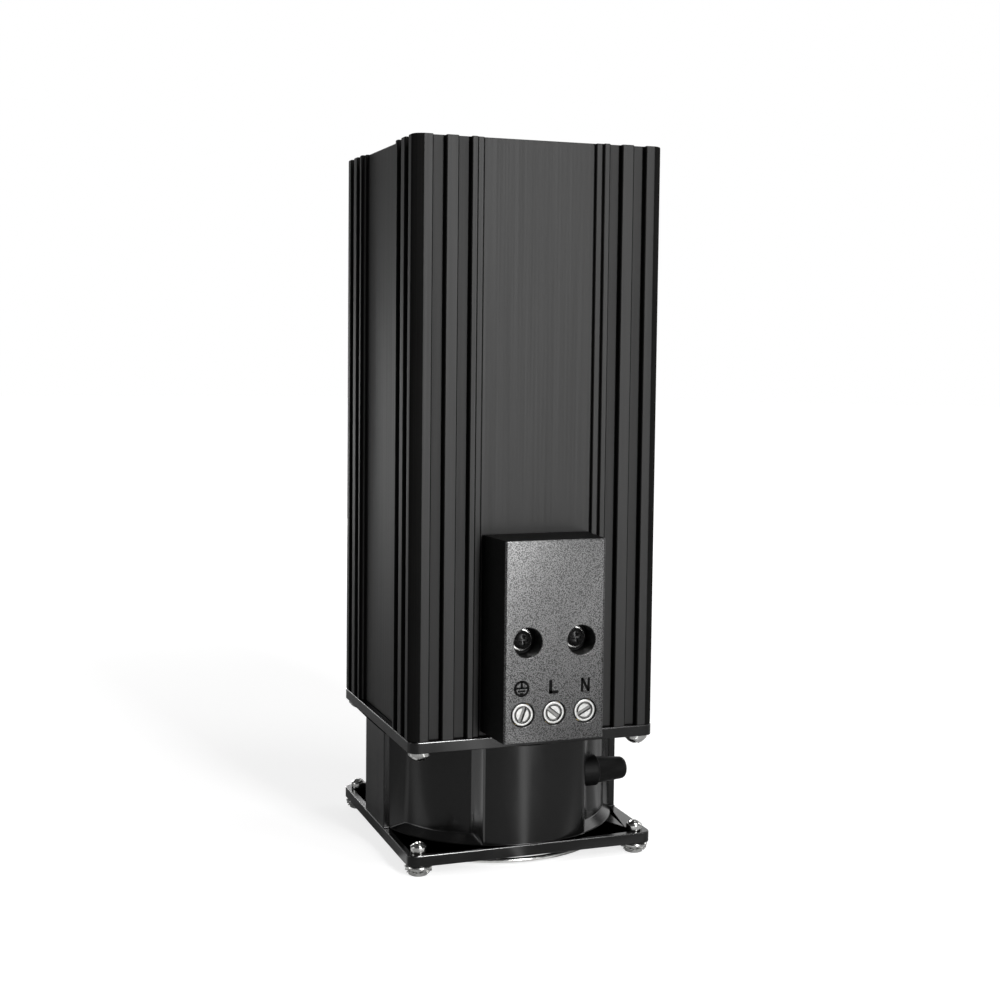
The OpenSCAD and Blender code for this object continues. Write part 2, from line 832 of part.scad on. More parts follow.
module motor_mount() {
    difference() {
        union() {
            translate([0, 0, motor_base_z])
                linear_extrude(motor_base_t) {
                    circle(motor_base_r);
                    for (turn = [45, 135])
                        rotate(turn)
                            square([2 * bore_r + barrel_wall, strut_w], center = true);
                }
            translate([0, 0, tube_z])
                cylinder(r = tube_r, h = tube_l + motor_base_t / 2);
        }
        translate([0, 0, tube_z - over])
            cylinder(r = tube_bore_r, h = tube_l + motor_base_t + 2 * over);
        translate([0, 0, tube_z - over])
            cylinder(r = bearing_r + seat_gap, h = bearing_w + over);
        translate([0, 0, upper_bearing_z])
            cylinder(r = bearing_r + seat_gap, h = motor_base_t + tube_l);
        translate([0, 0, motor_top - cap_t])
            cylinder(r = cap_r + seat_gap, h = cap_t + over);
    }
}

module fan_frame() {
    color("#19191b") {
        difference() {
            union() {
                for (z = [fan_z, upper_flange_z])
                    translate([0, 0, z])
                        linear_extrude(flange_t)
                            rounded_square(side_w, flange_corner_r);
                translate([0, 0, lower_flange_top - over])
                    linear_extrude(upper_flange_z - lower_flange_top + 2 * over)
                        barrel_outline();
                translate([0, 0, lower_flange_top])
                    cylinder(r1 = flare_r, r2 = 2 * barrel_r - flare_r, h = 2 * flare_h);
            }
            translate([0, 0, fan_z - over])
                cylinder(r = bore_r, h = fan_h + 2 * over);
            translate([0, 0, fan_z])
                cylinder(r1 = bore_r + mouth_flare, r2 = bore_r, h = mouth_depth);
            at_corners(corner_at)
                translate([0, 0, fan_z - over])
                    cylinder(r = flange_hole_r, h = fan_h + 2 * over);
            translate([bore_r / 2, -sleeve_y, sleeve_z])
                rotate([0, 90, 0])
                    cylinder(r = sleeve_hole_r, h = bore_r / 2);
        }
        motor_mount();
    }
}

module fan_mount_screws() {
    color("#c6c7c5")
        at_corners(corner_at)
            translate([0, 0, upper_flange_z])
                rotate([180, 0, 0])
                    pan_screw(corner_head_r, corner_head_h, corner_thread_r, flange_t + corner_bite);
}

// Finger guard and what holds it
module wire_ring(r, wire_d) {
    rotate_extrude()
        translate([r, 0])
            circle(wire_d / 2);
}

module finger_guard() {
    color("#c2c3c1") {
        for (i = [0:guard_rings - 1])
            translate([0, 0, guard_ring_z])
                wire_ring(guard_r - i * guard_pitch, ring_wire_d);
        at_corners(corner_at)
            translate([0, 0, arm_z])
                wire_ring(loop_r, loop_wire_d);
        for (turn = [45:90:315])
            rotate(turn)
                translate([inner_ring_r - ring_wire_d, 0, arm_z])
                    rotate([0, 90, 0])
                        cylinder(d = arm_wire_d, h = loop_at - loop_r - inner_ring_r + ring_wire_d);
    }
}

module guard_screws() {
    color("#c6c7c5")
        at_corners(corner_at)
            translate([0, 0, lower_flange_top])
                pan_screw(guard_head_r, guard_head_h, small_thread_r, lower_flange_top);
}

module lock_washers() {
    notch_w = PI * washer_r / washer_teeth;
    color("#cfd0ce")
        at_corners(corner_at)
            translate([0, 0, nut_h])
                linear_extrude(washer_t)
                    difference() {
                        circle(washer_r);
                        circle(small_thread_r + pass_gap);
                        for (i = [0:washer_teeth - 1])
                            rotate(i * 360 / washer_teeth)
                                translate([washer_r - washer_tooth_l, -notch_w / 2])
                                    square([washer_tooth_l + over, notch_w]);
                    }
}

module guard_nuts() {
    color("#c6c7c5")
        at_corners(corner_at)
            difference() {
                cylinder(r = nut_w / sqrt(3), h = nut_h, $fn = 6);
                translate([0, 0, -over])
                    cylinder(r = small_thread_r + seat_gap, h = nut_h + 2 * over);
            }
}

// Rubber sleeve on the corner of the barrel, pointing to the right
module lead_sleeve() {
    start = bore_r / 2;
    collar_end = sqrt(barrel_r * barrel_r - sleeve_y * sleeve_y) + sleeve_collar_l - start;
    length = sleeve_reach - start;
    color("#141415")
        difference() {
            translate([start, -sleeve_y, sleeve_z])
                rotate([0, 90, 0])
                    rotate_extrude()
                        polygon([
                            [0, 0],
                            [sleeve_collar_r, 0],
                            [sleeve_collar_r, collar_end],
                            [sleeve_root_r, collar_end],
                            [sleeve_end_r, length - sleeve_tip],
                            [sleeve_end_r - sleeve_tip, length],
                            [0, length]
                        ]);
            translate([0, 0, fan_z])
                linear_extrude(fan_h)
                    barrel_outline();
        }
}

// Motor
module pole_shoes() {
    intersection() {
        difference() {
            circle(stator_r);
            circle(stator_r - shoe_t);
        }
        for (turn = [0:90:270])
            rotate(turn)
                polygon([
                    [0, 0],
                    [2 * stator_r, -2 * stator_r * tan(shoe_angle)],
                    [2 * stator_r, 2 * stator_r * tan(shoe_angle)]
                ]);
    }
}

module stator_core() {
    color("#8f9194")
        translate([0, 0, stator_z])
            linear_extrude(stator_h)
                difference() {
                    union() {
                        circle(yoke_r);
                        pole_shoes();
                        for (turn = [0, 90])
                            rotate(turn)
                                square([2 * stator_r - shoe_t, pole_w], center = true);
                    }
                    circle(tube_r + seat_gap);
                }
}

module stator_coils() {
    inner_h = stator_h + 2 * side_gap;
    inner_pole_w = pole_w + 2 * side_gap;
    color("#a8602c")
        for (turn = [0:90:270])
            rotate(turn)
                translate([coil_in_r, 0, stator_z - side_gap])
                    difference() {
                        translate([0, -coil_half_w, -coil_t])
                            cube([coil_out_r - coil_in_r, 2 * coil_half_w, inner_h + 2 * coil_t]);
                        translate([-over, -inner_pole_w / 2, 0])
                            cube([coil_out_r - coil_in_r + 2 * over, inner_pole_w, inner_h]);
                    }
}

module bearing() {
    shield = bearing_w / 10;
    race = (bearing_r - bearing_bore_r) / 4;
    difference() {
        cylinder(r = bearing_r, h = bearing_w);
        translate([0, 0, -over])
            cylinder(r = bearing_bore_r, h = bearing_w + 2 * over);
        for (z = [-over, bearing_w - shield])
            translate([0, 0, z])
                difference() {
                    cylinder(r = bearing_r - race, h = shield + over);
                    cylinder(r = bearing_bore_r + race, h = shield + over);
                }
    }
}

module lower_bearing() {
    color("#b4b6b8")
        translate([0, 0, tube_z])
            bearing();
}

module upper_bearing() {
    color("#b4b6b8")
        translate([0, 0, upper_bearing_z])
            bearing();
}

module bearing_cap() {
    color("#2c2d30")
        translate([0, 0, motor_top - cap_t])
            cylinder(r = cap_r, h = cap_t);
}

// Rotor
module blade() {
    chord = sqrt(blade_run * blade_run + blade_h * blade_h);
    sagitta_at = sqrt(blade_curve_r * blade_curve_r - chord * chord / 4);
    curve_y = sagitta_at * blade_h / chord;
    curve_z = blade_h / 2 + sagitta_at * blade_run / chord;
    reach = blade_run / 2 + blade_t;
    intersection() {
        difference() {
            cylinder(r = tip_r, h = blade_h);
            translate([0, 0, -over])
                cylinder(r = hub_r - root_sink, h = blade_h + 2 * over);
        }
        translate([0, curve_y, curve_z])
            rotate([0, 90, 0])
                difference() {
                    cylinder(r = blade_curve_r + blade_t / 2, h = tip_r + over);
                    translate([0, 0, -over])
                        cylinder(r = blade_curve_r - blade_t / 2, h = tip_r + 3 * over);
                }
        translate([0, -reach, 0])
            cube([tip_r + over, 2 * reach, blade_h]);
    }
}

module impeller() {
    color("#1d1d1f")
        difference() {
            union() {
                difference() {
                    union() {
                        translate([0, 0, hub_z])
                            cylinder(r1 = hub_r - hub_bevel, r2 = hub_r, h = hub_bevel);
                        translate([0, 0, hub_z + hub_bevel])
                            cylinder(r = hub_r, h = hub_top - hub_z - hub_bevel);
                    }
                    translate([0, 0, hub_z + hub_face_t])
                        cylinder(r = hub_inner_r, h = hub_top - hub_z);
                }
                translate([0, 0, hub_z + hub_face_t / 2])
                    cylinder(r = boss_r, h = boss_top - hub_z - hub_face_t / 2);
                for (i = [0:blade_count - 1])
                    rotate(i * 360 / blade_count)
                        translate([0, 0, blade_z])
                            blade();
            }
            translate([0, 0, hub_z + hub_face_t])
                cylinder(r = shaft_r + seat_gap, h = boss_top - hub_z);
        }
}

module rotor_ring() {
    color("#7f8286")
        translate([0, 0, hub_z + hub_face_t])
            difference() {
                cylinder(r = rotor_ring_r, h = hub_top - hub_z - hub_face_t);
                translate([0, 0, -over])
                    cylinder(r = rotor_ring_r - rotor_ring_t, h = hub_top - hub_z + over);
            }
}

module shaft() {
    color("#c8cacc")
        translate([0, 0, hub_z + hub_face_t])
            cylinder(r = shaft_r, h = shaft_top - hub_z - hub_face_t);
}

module retaining_ring() {
    color("#55585c")
        translate([0, 0, ring_z])
            difference() {
                cylinder(r = ring_r, h = ring_t);
                translate([0, 0, -over])
                    cylinder(r = shaft_r + seat_gap, h = ring_t + 2 * over);
            }
}

heater_profile();
ptc_stones();
contact_strip_live();
contact_strip_neutral();
insulation_film();
channel_seals();
overheat_switch();
heater_leads();
terminal_housing();
terminal_cages();
terminal_screws();
cover_screws();
cover_washers();
rail_clip();
rail_clip_screws();
fan_frame();
fan_mount_screws();
finger_guard();
guard_screws();
lock_washers();
guard_nuts();
lead_sleeve();
stator_core();
stator_coils();
lower_bearing();
upper_bearing();
bearing_cap();
impeller();
rotor_ring();
shaft();
retaining_ring();
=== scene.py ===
import json
import math

import bmesh
import bpy
import numpy as np
from mathutils import Matrix, Vector


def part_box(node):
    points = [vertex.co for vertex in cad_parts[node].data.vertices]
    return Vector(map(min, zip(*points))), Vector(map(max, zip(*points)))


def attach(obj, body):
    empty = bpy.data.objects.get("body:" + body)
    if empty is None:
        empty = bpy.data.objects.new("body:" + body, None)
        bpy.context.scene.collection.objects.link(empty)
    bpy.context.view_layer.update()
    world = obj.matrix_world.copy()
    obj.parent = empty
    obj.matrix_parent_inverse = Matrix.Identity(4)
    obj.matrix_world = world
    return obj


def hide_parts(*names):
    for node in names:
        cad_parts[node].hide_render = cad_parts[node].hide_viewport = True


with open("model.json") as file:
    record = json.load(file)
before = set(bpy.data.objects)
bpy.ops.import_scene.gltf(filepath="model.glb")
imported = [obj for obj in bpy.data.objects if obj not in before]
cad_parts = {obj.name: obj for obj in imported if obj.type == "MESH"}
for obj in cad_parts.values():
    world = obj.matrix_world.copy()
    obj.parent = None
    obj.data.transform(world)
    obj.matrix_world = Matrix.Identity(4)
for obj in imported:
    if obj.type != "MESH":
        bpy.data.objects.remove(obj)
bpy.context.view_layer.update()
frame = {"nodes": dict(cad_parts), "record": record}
mm = 0.001
print("frame:", len(frame["nodes"]), "nodes")

# Camera, fitted to edges of the heater in the photograph
cameraFit = {
    "azimuth": -19.847,  # degrees, from the front towards +X
    "pitch": 3.929,  # degrees looking down
    "roll": 0.640,  # degrees
    "focalPixels": 1542.96,
    "framePixels": 1000,
    "shiftY": -0.05,
    "place": (-169.18, -474.04, 160.39),  # mm
    "sensor": 36.0,  # mm
}


def makeCamera(fit):
    turn, pitch, roll = (math.radians(fit[key]) for key in ("azimuth", "pitch", "roll"))
    back = Vector((math.sin(turn) * math.cos(pitch), -math.cos(turn) * math.cos(pitch), math.sin(pitch)))
    right = Vector((math.cos(turn), math.sin(turn), 0))
    up = back.cross(right)
    rolledRight = math.cos(roll) * right + math.sin(roll) * up
    rolledUp = math.cos(roll) * up - math.sin(roll) * right
    lens = bpy.data.cameras.new("photoCamera")
    lens.sensor_width = fit["sensor"]
    lens.lens = fit["focalPixels"] / fit["framePixels"] * fit["sensor"]
    lens.shift_y = fit["shiftY"]
    lens.clip_start = 0.01
    camera = bpy.data.objects.new("photoCamera", lens)
    bpy.context.scene.collection.objects.link(camera)
    aim = Matrix((rolledRight, rolledUp, back)).transposed().to_4x4()
    camera.matrix_world = Matrix.Translation(Vector(fit["place"]) * mm) @ aim
    bpy.context.scene.camera = camera


makeCamera(cameraFit)
bpy.context.scene.view_settings.view_transform = "Standard"
print("camera set")


# Shader maths: sums and products of wires and numbers become Math nodes
class Wire:
    def __init__(self, tree, socket=None):
        self.tree = tree
        self.socket = socket

    def node(self, kind, settings=None, inputs=None, output=0):
        made = self.tree.nodes.new(kind)
        for name, value in (settings or {}).items():
            setattr(made, name, value)
        for name, value in (inputs or {}).items():
            if isinstance(value, Wire):
                self.tree.links.new(value.socket, made.inputs[name])
            else:
                made.inputs[name].default_value = value
        return Wire(self.tree, made.outputs[output] if made.outputs else None)

    def math(self, operation, first, second=0.0):
        return self.node("ShaderNodeMath", {"operation": operation}, {0: first, 1: second})

    def __add__(self, other):
        return self.math("ADD", self, other)

    def __sub__(self, other):
        return self.math("SUBTRACT", self, other)

    def __rsub__(self, other):
        return self.math("SUBTRACT", other, self)

    def __mul__(self, other):
        return self.math("MULTIPLY", self, other)

    __radd__ = __add__
    __rmul__ = __mul__


def grey(level, tint=(1, 1, 1)):
    return (level * tint[0], level * tint[1], level * tint[2], 1)


def stretched(spot, x, y, z):  # the pattern's size along each axis
    return spot.node("ShaderNodeMapping", {}, {"Vector": spot, "Scale": (x, y, z)})


def noise(spot, scale, detail=2.0, rough=0.5):
    inputs = {"Vector": spot, "Scale": scale, "Detail": detail, "Roughness": rough}
    return spot.node("ShaderNodeTexNoise", {}, inputs, "Fac")


def cells(spot, scale):
    return spot.node("ShaderNodeTexVoronoi", {}, {"Vector": spot, "Scale": scale}, "Distance")


def bands(spot, scale, distortion):  # layers along Z
    inputs = {"Vector": spot, "Scale": scale, "Distortion": distortion}
    return spot.node("ShaderNodeTexWave", {"bands_direction": "Z"}, inputs, "Fac")


def remap(value, fromLow, fromHigh, toLow, toHigh):
    return value.node("ShaderNodeMapRange", {"interpolation_type": "SMOOTHSTEP"},
                      {0: value, 1: fromLow, 2: fromHigh, 3: toLow, 4: toHigh})


def tone(value, dark, light):
    return value.node("ShaderNodeMix", {"data_type": "RGBA"}, {0: value, 6: dark, 7: light}, 2)


def bump(height, distance, strength=1.0):
    inputs = {"Strength": strength, "Distance": distance, "Height": height}
    return height.node("ShaderNodeBump", {}, inputs, "Normal")


def along(spot, axis):  # the place along one axis in m
    return spot.node("ShaderNodeSeparateXYZ", {}, {"Vector": spot}, axis)


def makeMaterial(name, varying, dull=None, **fixed):
    material = bpy.data.materials.new(name)
    material.use_nodes = True
    tree = material.node_tree
    tree.nodes.clear()
    spot = Wire(tree).node("ShaderNodeTexCoord", output="Object")
    values = varying(spot)
    dullShare = values.pop("dullShare", None)
    shader = spot.node("ShaderNodeBsdfPrincipled", {}, {**fixed, **values}, "BSDF")
    if dullShare:  # a duller finish over a part of the surface
        dullShader = spot.node("ShaderNodeBsdfPrincipled", {}, {**fixed, **values, **dull}, "BSDF")
        shader = spot.node("ShaderNodeMixShader", {}, {0: dullShare, 1: shader, 2: dullShader})
    spot.node("ShaderNodeOutputMaterial", {}, {"Surface": shader})
    return material


grooves = {  # mm; rougher than the ribs, as the corners are
    "places": (24.15, 32.05), "half": 1.95, "floor": 38.2, "floorSoft": 1.0, "corner": 37.0, "soft": 0.2,
    "creaseStart": 0.55, "creaseFull": 0.3,  # from the walls
    "grooveRough": 0.08, "creaseRough": 0.35, "cornerRough": 0.42,  # shares of roughness added there
}
ribEdges = {  # mm; dull lines along the ribs
    "places": (34, 30.1, 26.1, 22.2, 20.1, 17.9), "reach": 0.34, "soft": 0.08,
}


def anodisedProfile():
    def varying(spot):
        lines = noise(stretched(spot, 1, 1, 0.004), 2600, 3)  # drawn along the profile
        clouds = noise(spot, 28, 2)
        grain = noise(spot, 9000, 1)
        sides = [spot.math("ABSOLUTE", along(spot, axis)) for axis in ("X", "Y")]
        across = spot.math("MINIMUM", *sides)
        floorEdges = (grooves["floor"] * mm, (grooves["floor"] + grooves["floorSoft"]) * mm)
        sunk = remap(spot.math("MAXIMUM", *sides), *floorEdges, 1, 0)
        half, soft = grooves["half"], grooves["soft"]
        creaseEdges = [(half - grooves[key]) * mm for key in ("creaseStart", "creaseFull")]
        inGroove, inCrease = 0, 0
        for place in grooves["places"]:
            off = spot.math("ABSOLUTE", across - place * mm)
            inside = remap(off, half * mm, (half + soft) * mm, 1, 0)
            inCrease = inside * remap(off, *creaseEdges, 0, 1) + inCrease
            inGroove = inside + inGroove
        corner = remap(across, (grooves["corner"] - soft) * mm, grooves["corner"] * mm, 0, 1)
        dullShare = corner
        dullEdges = (ribEdges["reach"] * mm, (ribEdges["reach"] + ribEdges["soft"]) * mm)
        for place in ribEdges["places"]:
            off = spot.math("ABSOLUTE", across - place * mm)
            dullShare = spot.math("MAXIMUM", dullShare, remap(off, *dullEdges, 1, 0))
        mottle = remap(lines * 0.6 + clouds * 0.4, 0.3, 0.7, 0, 1)
        added = sunk * (inGroove * grooves["grooveRough"] + inCrease * grooves["creaseRough"])
        return {
            "dullShare": dullShare,
            "Base Color": tone(mottle, grey(0.005, (1, 0.99, 0.98)), grey(0.009, (1, 0.985, 0.95))),
            "Roughness": remap(lines, 0.3, 0.7, 0.5, 0.58) + added + corner * grooves["cornerRough"],
            "Normal": bump(lines * 0.7 + grain * 0.3, 0.00002, 0.35),
        }
    dull = {"Specular IOR Level": 0.05}
    return makeMaterial("anodisedProfile", varying, dull, **{"Specular IOR Level": 0.42})


boxGrainAndSheen = {"full": 0.2, "gone": 0.7}  # mm behind the front, which alone is coarse and alone has its grain crests painted lighter as a painted sheen


def grainedPlastic():
    def varying(spot):
        depth = along(spot, "Y")
        front = remap(depth, (boxFront + boxGrainAndSheen["full"]) * mm, (boxFront + boxGrainAndSheen["gone"]) * mm, 1, 0)
        pits = cells(spot, 2900)
        fine = noise(spot, 4200, 2)
        crest = remap(pits * 0.5 + fine * 0.6, 0.42, 0.66, 1, 0)
        return {
            # lighter grain crests on the front face only: painted glints that make the front brighter than the
            # sides
            "Base Color": tone(crest * front, grey(0.003), grey(0.058, (1, 1, 1.02))),
            "Roughness": remap(fine, 0.3, 0.7, 0.5, 0.6),
            "Coat Weight": front * (crest * 0.6 + 0.4),
            "Normal": bump(crest * (front * 0.85 + 0.15), 0.00006, 0.7),
        }
    fixed = {"Specular IOR Level": 0.12, "Coat Roughness": 0.26, "Coat IOR": 1.8}
    return makeMaterial("grainedPlastic", varying, **fixed)


panelSide = {  # mm; the slanted left side of the fan's panel, where x + slope y + shift is 0
    "slope": 0.5, "shift": 33.7, "near": (0.3, 0.5), "front": (-31.5, -31.3),
    "low": (7.2, 7.6), "high": (37.0, 37.4),
}
flangeEdges = {"tops": (6.9, 41.4), "half": 40.0, "width": 0.3, "soft": 0.05}  # mm; the rounded upper edges


def glossyPlastic():
    def varying(spot):
        flow = noise(stretched(spot, 1, 1, 0.25), 160, 3)
        dust = noise(spot, 5200, 1)
        x, y, z = (along(spot, axis) for axis in "XYZ")
        off = spot.math("ABSOLUTE", x + y * panelSide["slope"] + panelSide["shift"] * mm)
        keys = ("near", "front", "low", "high")
        near, front, low, high = ([edge * mm for edge in panelSide[key]] for key in keys)
        between = remap(z, *low, 0, 1) * remap(z, *high, 1, 0)
        slanted = remap(off, *near, 1, 0) * remap(y, *front, 1, 0) * between
        outer = spot.math("MAXIMUM", spot.math("ABSOLUTE", x), spot.math("ABSOLUTE", y))
        soft, inner = flangeEdges["soft"], flangeEdges["half"] - flangeEdges["width"]
        atRim = remap(outer, (inner - soft) * mm, (inner + soft) * mm, 0, 1)
        atTop = 0
        for top in flangeEdges["tops"]:
            starts = top - flangeEdges["width"]
            below = remap(z, (top + soft) * mm, (top + 2 * soft) * mm, 1, 0)
            atTop = remap(z, (starts - soft) * mm, (starts + soft) * mm, 0, 1) * below + atTop
        return {
            "Coat Weight": slanted + atRim * atTop,
            "Base Color": tone(remap(dust, 0.62, 0.78, 0, 1), grey(0.004), grey(0.009)),
            "Roughness": remap(flow, 0.3, 0.7, 0.18, 0.26),
            "Normal": bump(flow, 0.00004, 0.25),
        }
    fixed = {"Specular IOR Level": 0.4, "Coat Roughness": 0.2, "Coat IOR": 2.0}
    return makeMaterial("glossyPlastic", varying, **fixed)


def mouldedPlastic(name):
    def varying(spot):
        grain = noise(spot, 2600, 3)
        return {
            "Base Color": tone(remap(grain, 0.4, 0.7, 0, 1), grey(0.014), grey(0.028)),
            "Roughness": remap(grain, 0.3, 0.7, 0.42, 0.58),
            "Normal": bump(grain, 0.00005, 0.6),
        }
    return makeMaterial(name, varying)


def sleeveRubber():
    def varying(spot):
        grain = noise(spot, 3600, 3)
        lines = noise(stretched(spot, 0.03, 1, 1), 1500, 2)
        return {
            "Base Color": tone(remap(grain, 0.45, 0.75, 0, 1), grey(0.002), grey(0.007)),
            "Roughness": remap(lines, 0.3, 0.7, 0.42, 0.56),
            "Normal": bump(grain * 0.5 + lines * 0.5, 0.00006, 0.5),
        }
    return makeMaterial("sleeveRubber", varying, **{"Specular IOR Level": 0.14})


def platedMetal(name, level, roughLow, roughHigh, tint=(1, 1, 0.98), recess=None):
    def varying(spot):
        mottle = noise(spot, 900, 3)
        fine = noise(spot, 6000, 2)
        color = tone(remap(mottle, 0.3, 0.7, 0, 1), grey(level * 0.82, tint), grey(level, tint))
        if recess:  # painted shade: darker in the grooves and slot of a face that looks to the front
            depth = along(spot, "Y")
            begins, full, ends, gone = (value * mm for value in recess["depths"])
            inside = remap(depth, begins, full, 0, recess["share"]) * remap(depth, ends, gone, 1, 0)
            color = tone(inside, color, grey(level * recess["level"]))
        return {
            "Base Color": color,
            "Roughness": remap(fine * 0.5 + mottle * 0.5, 0.35, 0.65, roughLow, roughHigh),
            "Normal": bump(fine, 0.00001, 0.3),
        }
    return makeMaterial(name, varying, Metallic=1.0)


def blackOxide():
    def varying(spot):
        wear = noise(spot, 2200, 3)
        return {
            "Base Color": tone(remap(wear, 0.55, 0.75, 0, 1), grey(0.02), grey(0.07)),
            "Roughness": remap(wear, 0.3, 0.7, 0.24, 0.36),
        }
    return makeMaterial("blackOxide", varying, Metallic=0.6)


def sheetBrass():
    def varying(spot):
        lines = noise(stretched(spot, 1, 1, 0.02), 1800, 3)
        return {
            "Base Color": tone(lines, (0.46, 0.34, 0.13, 1), (0.66, 0.52, 0.25, 1)),
            "Roughness": remap(lines, 0.3, 0.7, 0.24, 0.4),
        }
    return makeMaterial("sheetBrass", varying, Metallic=1.0)


def firedStone():
    def varying(spot):
        grain = noise(spot, 2400, 4, 0.7)
        specks = remap(grain, 0.35, 0.65, 0, 1)
        return {
            "Base Color": tone(specks, grey(0.1, (1, 0.95, 0.9)), grey(0.2, (1, 0.96, 0.9))),
            "Roughness": remap(grain, 0.3, 0.7, 0.7, 0.9),
            "Normal": bump(grain, 0.0001, 0.6),
        }
    return makeMaterial("firedStone", varying)


def amberFilm():
    def varying(spot):
        wrinkles = noise(stretched(spot, 1, 1, 0.3), 420, 3)
        return {
            "Base Color": tone(wrinkles, (0.36, 0.13, 0.02, 1), (0.62, 0.3, 0.06, 1)),
            "Roughness": remap(wrinkles, 0.3, 0.7, 0.18, 0.34),
            "Normal": bump(wrinkles, 0.0001, 0.5),
        }
    return makeMaterial("amberFilm", varying)


def castSilicone():
    def varying(spot):
        bubbles = noise(spot, 1300, 3)
        return {
            "Base Color": tone(bubbles, (0.22, 0.045, 0.03, 1), (0.34, 0.08, 0.055, 1)),
            "Roughness": remap(bubbles, 0.3, 0.7, 0.5, 0.7),
            "Normal": bump(bubbles, 0.0001, 0.5),
        }
    return makeMaterial("castSilicone", varying)


def leadInsulation():
    def varying(spot):
        lines = noise(stretched(spot, 1, 0.05, 1), 2400, 2)
        return {
            "Base Color": tone(lines, (0.28, 0.02, 0.015, 1), (0.42, 0.045, 0.03, 1)),
            "Roughness": remap(lines, 0.3, 0.7, 0.35, 0.5),
        }
    return makeMaterial("leadInsulation", varying)


def switchCase():
    def varying(spot):
        grain = noise(spot, 3000, 3)
        return {
            "Base Color": tone(grain, grey(0.035), grey(0.07, (1, 1, 1.05))),
            "Roughness": remap(grain, 0.3, 0.7, 0.4, 0.55),
            "Normal": bump(grain, 0.00005, 0.5),
        }
    return makeMaterial("switchCase", varying)


def laminatedSteel():
    def varying(spot):
        sheets = bands(spot, 320.0, 0.2)
        return {
            "Base Color": tone(sheets, grey(0.16), grey(0.34, (1, 1, 1.03))),
            "Roughness": remap(sheets, 0, 1, 0.55, 0.35),
            "Normal": bump(sheets, 0.0001, 0.8),
        }
    return makeMaterial("laminatedSteel", varying, Metallic=1.0)


def copperWinding():
    def varying(spot):
        turns = bands(spot, 420.0, 1.5)
        return {
            "Base Color": tone(turns, (0.2, 0.07, 0.02, 1), (0.55, 0.23, 0.08, 1)),
            "Roughness": remap(turns, 0, 1, 0.45, 0.25),
            "Normal": bump(turns, 0.0002, 0.9),
        }
    return makeMaterial("copperWinding", varying, Metallic=0.85)


def markInk():
    def varying(spot):
        grain = noise(spot, 4200, 2)
        return {
            "Base Color": tone(remap(grain, 0.4, 0.7, 0, 1), grey(0.004), grey(0.012)),
            "Roughness": remap(grain, 0.3, 0.7, 0.7, 0.9),
        }
    return makeMaterial("markInk", varying, **{"Specular IOR Level": 0.05})


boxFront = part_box("terminal_housing")[0][1] / mm
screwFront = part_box("terminal_screws")[0][1] / mm
# painted shade in the terminal screws' grooves and slots: depths (mm) where it begins, is full, ends and is
# gone, its share and its level
terminalRecessShade = {
    "depths": [screwFront + depth for depth in (0.2, 0.65, 1.0, 1.1)],  # mm
    "share": 0.68, "level": 0.04,
}
finishes = {
    "anodised_profile": anodisedProfile(),
    "heating_stone": firedStone(),
    "contact_metal": sheetBrass(),
    "film": amberFilm(),
    "silicone": castSilicone(),
    "grained_plastic": grainedPlastic(),
    "switch_case": switchCase(),
    "lead_insulation": leadInsulation(),
    "terminal_plating": platedMetal("terminalPlating", 0.5, 0.36, 0.48, recess=terminalRecessShade),
    "black_screw": blackOxide(),
    "bright_steel": platedMetal("brightSteel", 0.74, 0.14, 0.26),
    "guard_wire": platedMetal("guardWire", 0.76, 0.16, 0.28),
    "clip_plastic": mouldedPlastic("clipPlastic"),
    "fan_plastic": glossyPlastic(),
    "sleeve_rubber": sleeveRubber(),
    "lamination_steel": laminatedSteel(),
    "copper_winding": copperWinding(),
    "bearing_steel": platedMetal("bearingSteel", 0.62, 0.12, 0.22),
    "cap_plastic": mouldedPlastic("capPlastic"),
}
slotOf = {part["node"]: part["material_slot"] for part in frame["record"]["subparts"]}
bodyOf = {node: body for body, nodes in frame["record"]["behaviour"]["bodies"].items() for node in nodes}
print("finishes:", len(finishes))


# Meshes
def gridFaces(rows, columns, closedRows=False, closedColumns=True):  # four neighbouring grid points make a face
    row = np.arange(rows if closedRows else rows - 1)[:, None]
    column = np.arange(columns if closedColumns else columns - 1)[None, :]
    nextRow, nextColumn = (row + 1) % rows, (column + 1) % columns
    here, there = row * columns, nextRow * columns
    corners = (here + column, here + nextColumn, there + nextColumn, there + column)
    return np.stack(np.broadcast_arrays(*corners), -1).reshape(-1, 4)


def gridShape(points, closedRows=False, closedColumns=True):
    rows, columns = points.shape[:2]
    return points.reshape(-1, 3), gridFaces(rows, columns, closedRows, closedColumns)


def angles(steps):
    return np.linspace(0, 2 * np.pi, steps, endpoint=False)


# Points around Z: (r cos a, r sin a, h)
def ringPoints(radius, around, height):
    return np.stack(np.broadcast_arrays(radius * np.cos(around), radius * np.sin(around), height), -1)


# The same for a profile of (radius, height) points, a row of the grid for each
def profilePoints(profile, around):
    radius, height = np.asarray(profile, float).T[:, :, None]
    return ringPoints(radius, around, height)


def turned(profile, steps=48, closedRows=False):
    return gridShape(profilePoints(profile, angles(steps)[None, :]), closedRows)


def arc(centre, radius, startDegrees, endDegrees, steps=6):  # points of a round edge in a profile
    a = np.radians(np.linspace(startDegrees, endDegrees, steps))
    return list(zip(centre[0] + radius * np.cos(a), centre[1] + radius * np.sin(a)))


def joined(shapes):
    starts = np.cumsum([0] + [len(points) for points, faces in shapes[:-1]])
    return (np.concatenate([points for points, faces in shapes]),
            np.concatenate([faces + start for (points, faces), start in zip(shapes, starts)]))


facing = {  # where a turned shape's own Z points
    "up": np.eye(3),
    "down": np.diag((1, -1, -1)),
    "front": np.array(((1, 0, 0), (0, 0, -1), (0, 1, 0))),
    "back": np.array(((1, 0, 0), (0, 0, 1), (0, -1, 0))),
    "right": np.array(((0, 0, 1), (1, 0, 0), (0, 1, 0))),
}


def copied(shape, places, way="up"):
    points, faces = shape
    stood = points @ facing[way].T
    return joined([(stood + np.asarray(place), faces) for place in places])


